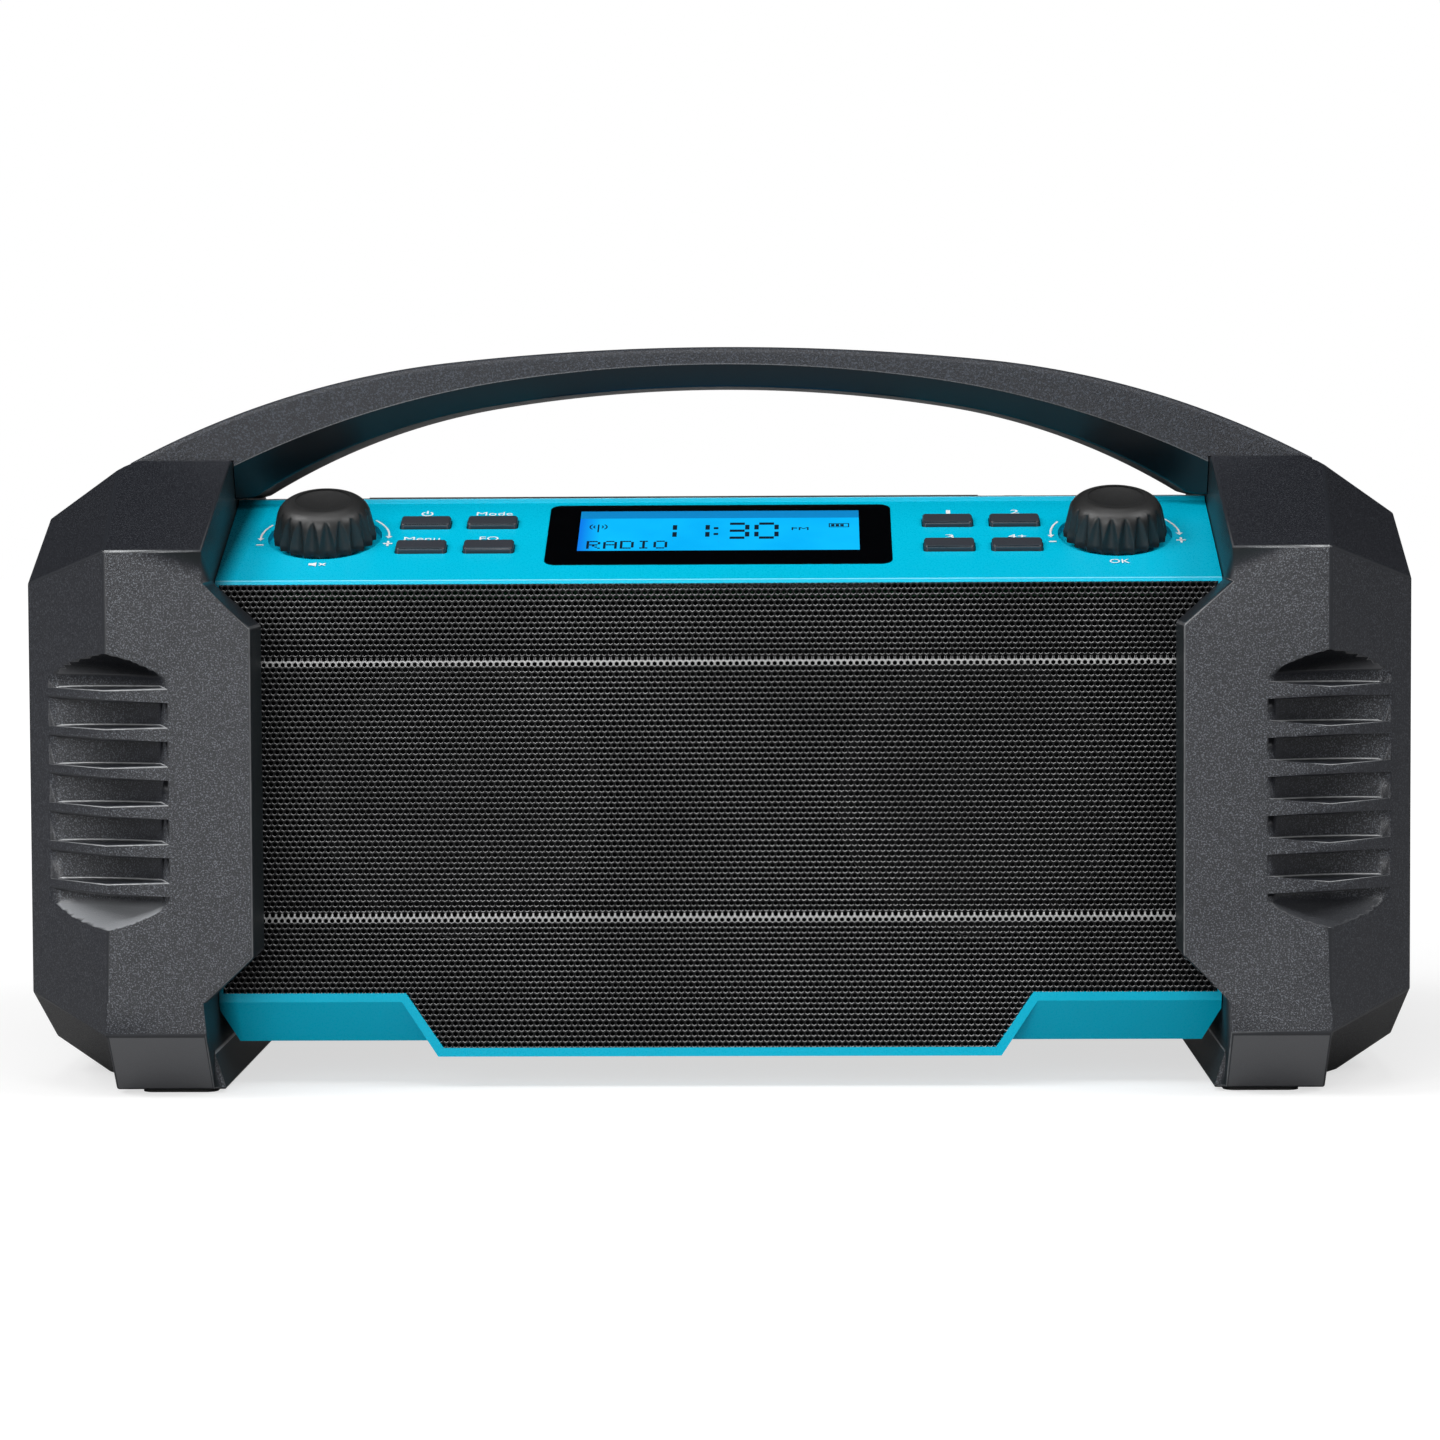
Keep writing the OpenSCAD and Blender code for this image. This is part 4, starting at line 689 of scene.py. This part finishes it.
def lofted(work, stations, highlighted=()):
    """A closed form through sections of front halves, each mirrored to the back.

    highlighted names the strips of faces that take the edge material, a painted highlight.
    """
    rings = []
    for x, half in stations:
        whole = half + [(-y, z) for y, z in reversed(half[1:-1])]
        rings.append([work.verts.new(Vector((x, y, z)) * MM) for y, z in whole])
    count = len(rings[0])
    for a, b in zip(rings, rings[1:]):
        for i in range(count):
            j = (i + 1) % count
            face = work.faces.new([a[i], a[j], b[j], b[i]])
            face.material_index = int(i in highlighted or count - 1 - i in highlighted)
    work.faces.new(rings[0])
    work.faces.new(rings[-1][::-1])


def handle_form():
    """The bar with a band and a smooth facet on each side, and its two flat ends."""
    work = bmesh.new()
    bar = np.linspace(-BAR_HALF, BAR_HALF, 97)
    lofted(work, [(x, bar_section(x)) for x in bar], highlighted=(8, 9))
    ends = list(np.linspace(BAR_HALF - 0.05, CREST_TURN, 10)) + [TIP_START, HANDLE_HALF]
    for sign in (-1, 1):
        lofted(work, [(sign * x, seat_section(x)) for x in ends])
    bmesh.ops.recalc_face_normals(work, faces=work.faces)
    mesh = finished(work, "handle_form", 32)
    piece = new_object("handle_form", mesh, HANDLE)
    mesh.materials.append(HANDLE_EDGE)
    even_shading(piece)
    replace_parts(piece, "handle")


handle_form()


# ---------- the perforated grille ----------

HOLE_PITCH = 1.6
HOLE_R = 0.6
HOLE_EDGE = 0.15  # chamfer round each hole
SHEET_T = 1.0
FIRST_ROW = 0.4  # height of the first holes' middles above the sheet's edge


def grille_depth(z):
    """How far the grille's face lies behind the lip at a height."""
    heights = [h for z0 in CREASES for h in (z0, z0 + CREASE_FALL, z0 + CREASE_H)]
    return np.interp(z, heights, [0, CREASE_D, 0] * len(CREASES)) + GRILLE_SET


def perforated_sheet(name):
    """A sheet of hexagonal cells with a hole in each, creased, and cut to the opening."""
    row = HOLE_PITCH * math.sqrt(3) / 2
    cell_r = HOLE_PITCH / math.sqrt(3)
    rows = int((GRILLE_TOP - TONGUE_LOW) / row) + 3
    columns = int(2 * OPENING_HALF / HOLE_PITCH) + 4
    angles = np.radians(np.arange(6) * 60 + 30)
    outer = np.stack([np.cos(angles), np.sin(angles)], 1) * cell_r
    inner = outer * (HOLE_R / cell_r)
    centres = np.array([
        ((i + 0.5 * (j % 2) - columns / 2) * HOLE_PITCH, GRILLE_TOP + FIRST_ROW - j * row)
        for j in range(rows) for i in range(columns)
    ])
    in_tongue = np.abs(centres[:, 0]) < TONGUE_HALF + HOLE_PITCH
    centres = centres[(centres[:, 1] > FRAME_Z - 2) | in_tongue]
    rings = []
    rim = outer * ((HOLE_R + HOLE_EDGE) / cell_r)
    # A cell's outline and rim in front, the hole's wall, and the outline behind
    for ring, back in ((outer, 0), (rim, 0), (inner, HOLE_EDGE),
                       (inner, SHEET_T), (outer, SHEET_T)):
        flat = centres[:, None, :] + ring[None]
        depth = LIP_Y + grille_depth(flat[..., 1]) + back
        rings.append(np.stack([flat[..., 0], depth, flat[..., 1]], -1))
    vertices = np.stack(rings, 1).reshape(-1, 3) * MM
    k = np.arange(6)
    following = (k + 1) % 6
    quads = np.concatenate([
        np.stack([a * 6 + k, a * 6 + following, b * 6 + following, b * 6 + k], 1)
        for a, b in ((0, 1), (1, 2), (2, 3), (3, 4))
    ])
    faces = (quads[None] + np.arange(len(centres))[:, None, None] * 30).reshape(-1, 4)
    mesh = bpy.data.meshes.new(name)
    mesh.from_pydata(vertices.tolist(), [], faces.tolist())
    work = bmesh.new()
    work.from_mesh(mesh)
    bmesh.ops.remove_doubles(work, verts=work.verts, dist=0.01 * MM)
    side = Vector((TONGUE_LEAN, 0, FRAME_Z - TONGUE_LOW)).normalized()
    outwards = Vector((side.z, 0, -side.x))
    cuts = [((OPENING_HALF, 0, 0), (1, 0, 0)), ((-OPENING_HALF, 0, 0), (-1, 0, 0)),
            ((0, 0, GRILLE_TOP), (0, 0, 1)), ((0, 0, TONGUE_LOW), (0, 0, -1))]
    for point, normal in cuts:
        everything = work.verts[:] + work.edges[:] + work.faces[:]
        bmesh.ops.bisect_plane(work, geom=everything, plane_co=Vector(point) * MM,
                               plane_no=normal, clear_outer=True, dist=1e-7)
    # Below the frame's top edge only the tongue stays
    everything = work.verts[:] + work.edges[:] + work.faces[:]
    bmesh.ops.bisect_plane(work, geom=everything, plane_co=Vector((0, 0, FRAME_Z)) * MM,
                           plane_no=(0, 0, 1), dist=1e-7)
    for sign in (1, -1):
        low = [f for f in work.faces if f.calc_center_median().z < FRAME_Z * MM]
        geometry = set(low)
        for face in low:
            geometry.update(face.verts)
            geometry.update(face.edges)
        normal = Vector((outwards.x * sign, 0, outwards.z))
        point = Vector((TONGUE_HALF * sign, 0, FRAME_Z)) * MM
        bmesh.ops.bisect_plane(work, geom=list(geometry), plane_co=point,
                               plane_no=normal, dist=1e-7)
        outside = [f for f in work.faces
                   if f.calc_center_median().z < FRAME_Z * MM
                   and (f.calc_center_median() - point).dot(normal) > 0]
        bmesh.ops.delete(work, geom=outside, context="FACES")
    bmesh.ops.recalc_face_normals(work, faces=work.faces)
    # Material 1 on the rims that face up, 2 on the creases' bright flanks: both painted
    # highlights
    for face in work.faces:
        height = face.calc_center_median().z / MM
        rim = 0.3 < abs(face.normal.y) < 0.9 and face.normal.z > 0.2
        crease = face.normal.y < -0.5 and any(z - 0.4 < height < z + 1.3 for z in CREASES)
        face.material_index = 2 if crease else int(rim)
    work.to_mesh(mesh)
    work.free()
    shade(mesh, 30)
    return mesh


grille = new_object("grille_sheet", perforated_sheet("grille_sheet"), STEEL)
for edge_material in (STEEL_EDGE, CREASE_EDGE):
    grille.data.materials.append(edge_material)
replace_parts(grille, "speaker_grille")


# ---------- printed marks and the display ----------

def ink(name, colour, glow=0.0, specular=0.5):
    n = Nodes(name)
    base = n.ramp(n.noise(900, 2), [(0.3, scaled(colour, 0.94)), (0.7, colour)])
    n.surface(Base_Color=base, Roughness=0.5, Specular_IOR_Level=specular)
    if glow:
        n.surface(Emission_Color=base, Emission_Strength=glow)
    return n.material


def backlight():
    """The display's blue, darker at its left end."""
    n = Nodes("backlit_blue")
    left = n.levels(n.split(n.place)["X"], -0.036, -0.031, 0.0, 1.0)
    tint = n.ramp(n.levels(n.noise(60, 2), 0.3, 0.7, 0, 1),
                  [(0.0, (0.002, 0.42, 0.9)), (1.0, (0.004, 0.5, 0.98))])
    blue = n.mix(left, (0.004, 0.2, 0.8), tint)
    return n.surface(Base_Color=n.mix(0.8, blue, (0, 0, 0)), Roughness=0.3,
                     Specular_IOR_Level=0.1, Emission_Color=blue, Emission_Strength=0.85)


PRINT = ink("white_ink", (0.85, 0.87, 0.88))
SEGMENT = ink("display_segment", (0.004, 0.012, 0.026), specular=0.1)
BACKLIT = backlight()
BACKLIT_SHADE = ink("display_shade", (0.002, 0.13, 0.32), 0.8, specular=0.1)
INK_T = 0.03
INK_SINK = 0.02  # how far a mark reaches into the surface under it
CAP_HEIGHT = 0.729  # of a capital letter, in Blender's own font at size 1


class Flat:
    """Flat shapes laid on the panel, each a thin closed plate."""

    def __init__(self, lift=0.0):
        self.work = bmesh.new()
        self.lift = lift

    def plate(self, loops_x_s):
        low = self.lift - INK_SINK
        high = self.lift + INK_T
        points = [self.work.verts.new(panel_point(x, s, high)) for x, s in loops_x_s]
        under = [self.work.verts.new(panel_point(x, s, low)) for x, s in loops_x_s]
        count = len(points)
        self.work.faces.new(points)
        self.work.faces.new(under[::-1])
        for i in range(count):
            j = (i + 1) % count
            self.work.faces.new([points[j], points[i], under[i], under[j]])

    def box(self, x, s, width, length):
        w, l = width / 2, length / 2
        self.plate([(x - w, s - l), (x + w, s - l), (x + w, s + l), (x - w, s + l)])

    def arc(self, x, s, radius, width, start, end, steps=32):
        """A ring piece from one angle to another, in degrees."""
        angles = [math.radians(start + (end - start) * i / steps) for i in range(steps + 1)]
        for a, b in zip(angles, angles[1:]):
            self.plate([
                (x + r * math.cos(t), s + r * math.sin(t))
                for r, t in ((radius - width / 2, a), (radius + width / 2, a),
                             (radius + width / 2, b), (radius - width / 2, b))
            ])

    def line(self, x0, s0, x1, s1, width):
        run = Vector((x1 - x0, s1 - s0))
        across = Vector((-run.y, run.x)).normalized() * width / 2
        self.plate([(x0 - across.x, s0 - across.y), (x1 - across.x, s1 - across.y),
                    (x1 + across.x, s1 + across.y), (x0 + across.x, s0 + across.y)])

    def words(self, text, x, s, height, width):
        """Letters centred on x with their foot at s, as wide as given."""
        curve = bpy.data.curves.new("letters", "FONT")
        curve.body = text
        curve.resolution_u = 3
        letters = bpy.data.objects.new("letters", curve)
        bpy.context.scene.collection.objects.link(letters)
        shape = bmesh.new()
        shape.from_mesh(letters.to_mesh())
        ends = [v.co.x for v in shape.verts]
        left, right = min(ends), max(ends)
        for vertex in shape.verts:
            along = (vertex.co.x - (left + right) / 2) / (right - left)
            vertex.co = Vector((along * width, vertex.co.y * height / CAP_HEIGHT, 0))
        bmesh.ops.dissolve_limit(shape, angle_limit=0.02, verts=shape.verts, edges=shape.edges)
        bmesh.ops.triangulate(shape, faces=shape.faces)
        base, top = (
            {v: self.work.verts.new(panel_point(x + v.co.x, s + v.co.y, self.lift + rise))
             for v in shape.verts} for rise in (-INK_SINK, INK_T))
        for face in shape.faces:
            loop = list(face.verts)
            if face.normal.z < 0:
                loop.reverse()
            self.work.faces.new([top[v] for v in loop])
            self.work.faces.new([base[v] for v in reversed(loop)])
        for edge in shape.edges:
            if len(edge.link_faces) == 1:
                a, b = edge.verts
                self.work.faces.new([top[a], top[b], base[b], base[a]])
        shape.free()
        letters.to_mesh_clear()
        bpy.data.objects.remove(letters)

    def piece(self, name, material, slot=None):
        bmesh.ops.recalc_face_normals(self.work, faces=self.work.faces)
        return new_object(name, finished(self.work, name), material)


def mark_arrow(marks, x, s, angle, size=1.5):
    """An arrowhead at a place, pointing along an angle in degrees."""
    a = math.radians(angle)
    ahead = Vector((math.cos(a), math.sin(a)))
    aside = Vector((-ahead.y, ahead.x))
    here = Vector((x, s))
    tip = here + ahead * size
    left = here + aside * size * 0.6
    right = here - aside * size * 0.6
    marks.plate([tuple(tip), tuple(left), tuple(right)])


LABEL_FOOT = 6.1  # from a button's middle to the foot of its label
LABEL_H = 2.6
TURN_R = 16.6  # of the turn arrows round a knob


def knob_marks(marks, x):
    """Turn arrows, a minus and a plus beside a knob."""
    for start, end, turn in ((42, 1, -92), (150, 183, -88)):
        marks.arc(x, KNOB_S, TURN_R, 0.5, start, end)
        a = math.radians(end)
        mark_arrow(marks, x + TURN_R * math.cos(a), KNOB_S + TURN_R * math.sin(a), turn)
    marks.box(x - 16.3, KNOB_S - 5.3, 1.9, 0.6)
    marks.box(x + 16.7, KNOB_S - 4.7, 2.4, 0.6)
    marks.box(x + 16.7, KNOB_S - 4.7, 0.6, 3.4)


def panel_marks():
    marks = Flat()
    for x in (-KNOB_X, KNOB_X):
        knob_marks(marks, x)
    # Power: a broken ring and a stroke
    x, s = -76.8, LABEL_FOOT + 37.3 + 1.3
    marks.arc(x, s, 1.35, 0.45, 125, 415)
    marks.box(x, s + 1.0, 0.45, 2.2)
    # A word, its middle, its button's place up the slope and its width
    for text, x, row, width in (
            ("Mode", -59.1, 37.3, 9.5), ("Menu", -76.9, 20.2, 9.3), ("EQ", -59.5, 20.2, 5.0),
            ("1", 59.6, 37.1, 1.1), ("2", 77.0, 37.1, 2.2), ("3", 59.5, 20.2, 2.2),
            ("4+", 76.9, 20.2, 4.7)):
        marks.words(text, x, row + LABEL_FOOT, LABEL_H, width)
    marks.words("OK", KNOB_X, 9.2, 2.7, 5.1)
    # Mute: a small speaker and a cross
    x, s = -KNOB_X - 0.3, 10.6
    marks.box(x - 1.7, s, 0.8, 1.3)
    marks.plate([(x - 1.3, s - 0.65), (x - 0.1, s - 1.3),
                 (x - 0.1, s + 1.3), (x - 1.3, s + 0.65)])
    marks.line(x + 0.6, s - 0.8, x + 2.2, s + 0.8, 0.4)
    marks.line(x + 0.6, s + 0.8, x + 2.2, s - 0.8, 0.4)
    return marks.piece("panel_print", PRINT, "white_plastic")


panel_marks()


# The lit segments of each digit, by their usual letters
SEGMENTS = {"0": "abcdef", "1": "bc", "3": "abcdg"}
DOT_LETTERS = {
    "R": ("11110", "10001", "10001", "11110", "10100", "10010", "10001"),
    "A": ("01110", "10001", "10001", "11111", "10001", "10001", "10001"),
    "D": ("11110", "10001", "10001", "10001", "10001", "10001", "11110"),
    "I": ("01110", "00100", "00100", "00100", "00100", "00100", "01110"),
    "O": ("01110", "10001", "10001", "10001", "10001", "10001", "01110"),
}


def digit(marks, text, x, s, width, height, stroke):
    """A seven-segment digit whose lower left corner is at x, s."""
    half = height / 2
    across = {"a": s + height, "g": s + half, "d": s}
    upright = {"f": (x, s + half), "b": (x + width, s + half), "e": (x, s), "c": (x + width, s)}
    for name in SEGMENTS[text]:
        if name in across:
            marks.box(x + width / 2, across[name], width - stroke * 0.9, stroke)
        else:
            left, foot = upright[name]
            marks.box(left, foot + half / 2, stroke * 0.75, half - stroke * 1.1)


def dot_text(marks, text, x, s, pitch_x, pitch_s):
    """Dot letters whose lower left corner is at x, s."""
    for place, letter in enumerate(text):
        for line, dots in enumerate(DOT_LETTERS[letter]):
            for column, dot in enumerate(dots):
                if dot == "1":
                    marks.box(x + (place * 6 + column) * pitch_x, s + (6 - line) * pitch_s,
                              pitch_x * 0.92, pitch_s * 0.92)


LCD_LEFT, LCD_RIGHT = -36.4, 36.2
LCD_LOW, LCD_HIGH = 19.0, 45.9
LCD_SHADE = 5  # depth of the dark strip under the top edge
DIGIT_FOOT = 27.3
DIGIT_W, DIGIT_H, DIGIT_STROKE = 5.2, 9.6, 1.5


def display():
    """A blue face with a shaded top strip, and the marks on it."""
    face = Flat(WINDOW_TOP)
    face.plate([(LCD_LEFT, LCD_LOW), (LCD_RIGHT, LCD_LOW),
                (LCD_RIGHT, LCD_HIGH - LCD_SHADE), (LCD_LEFT, LCD_HIGH - LCD_SHADE)])
    face.piece("display_face", BACKLIT, "lcd_glass")
    shade_strip = Flat(WINDOW_TOP)
    shade_strip.plate([(LCD_LEFT, LCD_HIGH - LCD_SHADE), (LCD_RIGHT, LCD_HIGH - LCD_SHADE),
                       (LCD_RIGHT, LCD_HIGH), (LCD_LEFT, LCD_HIGH)])
    shade_strip.piece("display_face_top", BACKLIT_SHADE, "lcd_glass")
    marks = Flat(WINDOW_TOP + 0.04)
    for text, x in (("1", -16.8), ("1", -8.3), ("3", 2.0), ("0", 9.6)):
        digit(marks, text, x, DIGIT_FOOT, DIGIT_W, DIGIT_H, DIGIT_STROKE)
    for s in (DIGIT_FOOT + 2.6, DIGIT_FOOT + 6.6):
        marks.box(-0.9, s, 1.2, 1.3)
    marks.words("FM", 20.9, 32.4, 2.0, 4.4)
    # Reception: a mast and waves
    x, s = -31.5, 31.5
    marks.line(x, s, x, s + 5.2, 0.4)
    for radius in (1.2, 2.2):
        marks.arc(x, s + 3.6, radius, 0.35, -45, 45, 8)
        marks.arc(x, s + 3.6, radius, 0.35, 135, 225, 8)
    # Battery
    x, s = 31.0, 35.6
    for dx in (-1.6, -0.4, 0.8):
        marks.box(x + dx, s, 0.9, 1.5)
    for ds in (-1.2, 1.2):
        marks.box(x, s + ds, 5.2, 0.3)
    for dx in (-2.5, 2.5):
        marks.box(x + dx, s, 0.3, 2.4)
    dot_text(marks, "RADIO", -33.8, 20.6, 0.72, 0.75)
    marks.piece("display_marks", SEGMENT, "inner_plastic")


display()


# ---------- floor, backdrop and lights ----------

FLOOR_HALF = 6.0
SHADOW_REACH, WHITE_FROM = 0.25, 0.9  # metres from the middle of the floor


def white_stage():
    """White floor that keeps the shadow near the object and turns into pure white further off."""
    n = Nodes("stage_white")
    seen = n.add("ShaderNodeLightPath").outputs["Is Camera Ray"]
    away = n.add("ShaderNodeVectorMath", Vector=n.place)
    away.operation = "LENGTH"
    far = n.levels(away.outputs["Value"], SHADOW_REACH, WHITE_FROM, 0.65, 1.0)
    slow = n.ramp(n.noise(3, 2), [(0.3, (0.41, 0.41, 0.41)), (0.7, (0.43, 0.43, 0.43))])
    return n.surface(Base_Color=slow, Roughness=0.9, Specular_IOR_Level=0.0,
                     Emission_Color=(1, 1, 1, 1),
                     Emission_Strength=n.math("MULTIPLY", seen, far))


def make_floor():
    mesh = bpy.data.meshes.new("floor")
    corners = [(x * FLOOR_HALF, y * FLOOR_HALF, 0)
               for x, y in ((-1, -1), (1, -1), (1, 1), (-1, 1))]
    mesh.from_pydata(corners, [], [(0, 1, 2, 3)])
    mesh.materials.append(white_stage())
    floor = bpy.data.objects.new("floor", mesh)
    bpy.context.scene.collection.objects.link(floor)


ROOM = 0.22  # brightness of the room for the light
BACKDROP = 0.9  # and of the wall behind the object
ROOM_DARK = 0.01  # and of the part above that wall


def make_world():
    """White to the camera; for the light, a grey room, dark above a bright backdrop."""
    world = bpy.data.worlds.new("studio")
    bpy.context.scene.world = world
    world.use_nodes = True
    tree = world.node_tree
    background = tree.nodes["Background"]
    background.inputs["Color"].default_value = (1, 1, 1, 1)
    path = tree.nodes.new("ShaderNodeLightPath").outputs
    way = tree.nodes.new("ShaderNodeTexCoord").outputs["Generated"]

    def combined(operation, first, second):
        node = tree.nodes.new("ShaderNodeMath")
        node.operation = operation
        tree.links.new(first, node.inputs[0])
        tree.links.new(second, node.inputs[1])
        return node.outputs[0]

    def zone(direction, start, end, inside, outside):
        """A soft-edged part of the room round a direction, and its brightness."""
        towards = tree.nodes.new("ShaderNodeVectorMath")
        towards.operation = "DOT_PRODUCT"
        tree.links.new(way, towards.inputs[0])
        towards.inputs[1].default_value = direction
        ranged = tree.nodes.new("ShaderNodeMapRange")
        ranged.interpolation_type = "SMOOTHSTEP"
        tree.links.new(towards.outputs["Value"], ranged.inputs["Value"])
        for key, number in (("From Min", start), ("From Max", end),
                            ("To Min", outside), ("To Max", inside)):
            ranged.inputs[key].default_value = number
        return ranged.outputs["Result"]

    room = combined("ADD", zone((0, 0.72, 0.69), 0.45, 0.8, ROOM_DARK, ROOM),
                    zone((0, 0.998, -0.06), 0.93, 0.99, BACKDROP, 0))
    seen = combined("MAXIMUM", path["Is Camera Ray"], path["Is Transmission Ray"])
    tree.links.new(combined("MAXIMUM", seen, room), background.inputs["Strength"])


def make_lamp(name, place, aim_height, width, height, watts):
    """A panel of light that points at a height over the middle of the floor, in metres."""
    data = bpy.data.lights.new(name, "AREA")
    data.shape = "RECTANGLE"
    data.size = width
    data.size_y = height
    data.energy = watts
    lamp = bpy.data.objects.new(name, data)
    lamp.location = place
    aim = Vector((0, 0, aim_height)) - Vector(place)
    lamp.rotation_mode = "QUATERNION"
    lamp.rotation_quaternion = aim.to_track_quat("-Z", "Y")
    bpy.context.scene.collection.objects.link(lamp)


make_floor()
make_world()
make_lamp("key", (-1.0, -0.5, 1.1), 0.1, 0.6, 0.6, 9)
make_lamp("fill", (0.95, -0.5, 1.05), 0.1, 0.6, 0.6, 5.8)
make_lamp("overhead", (0, -0.05, 1.5), 0.1, 0.9, 0.5, 2)
make_lamp("top", (-0.1, -0.8, 1.3), 0.1, 1.0, 0.35, 6)
make_lamp("front", (-0.45, -1.75, 0.5), 0.09, 1.2, 0.9, 12)

bpy.context.scene.view_settings.view_transform = "Standard"
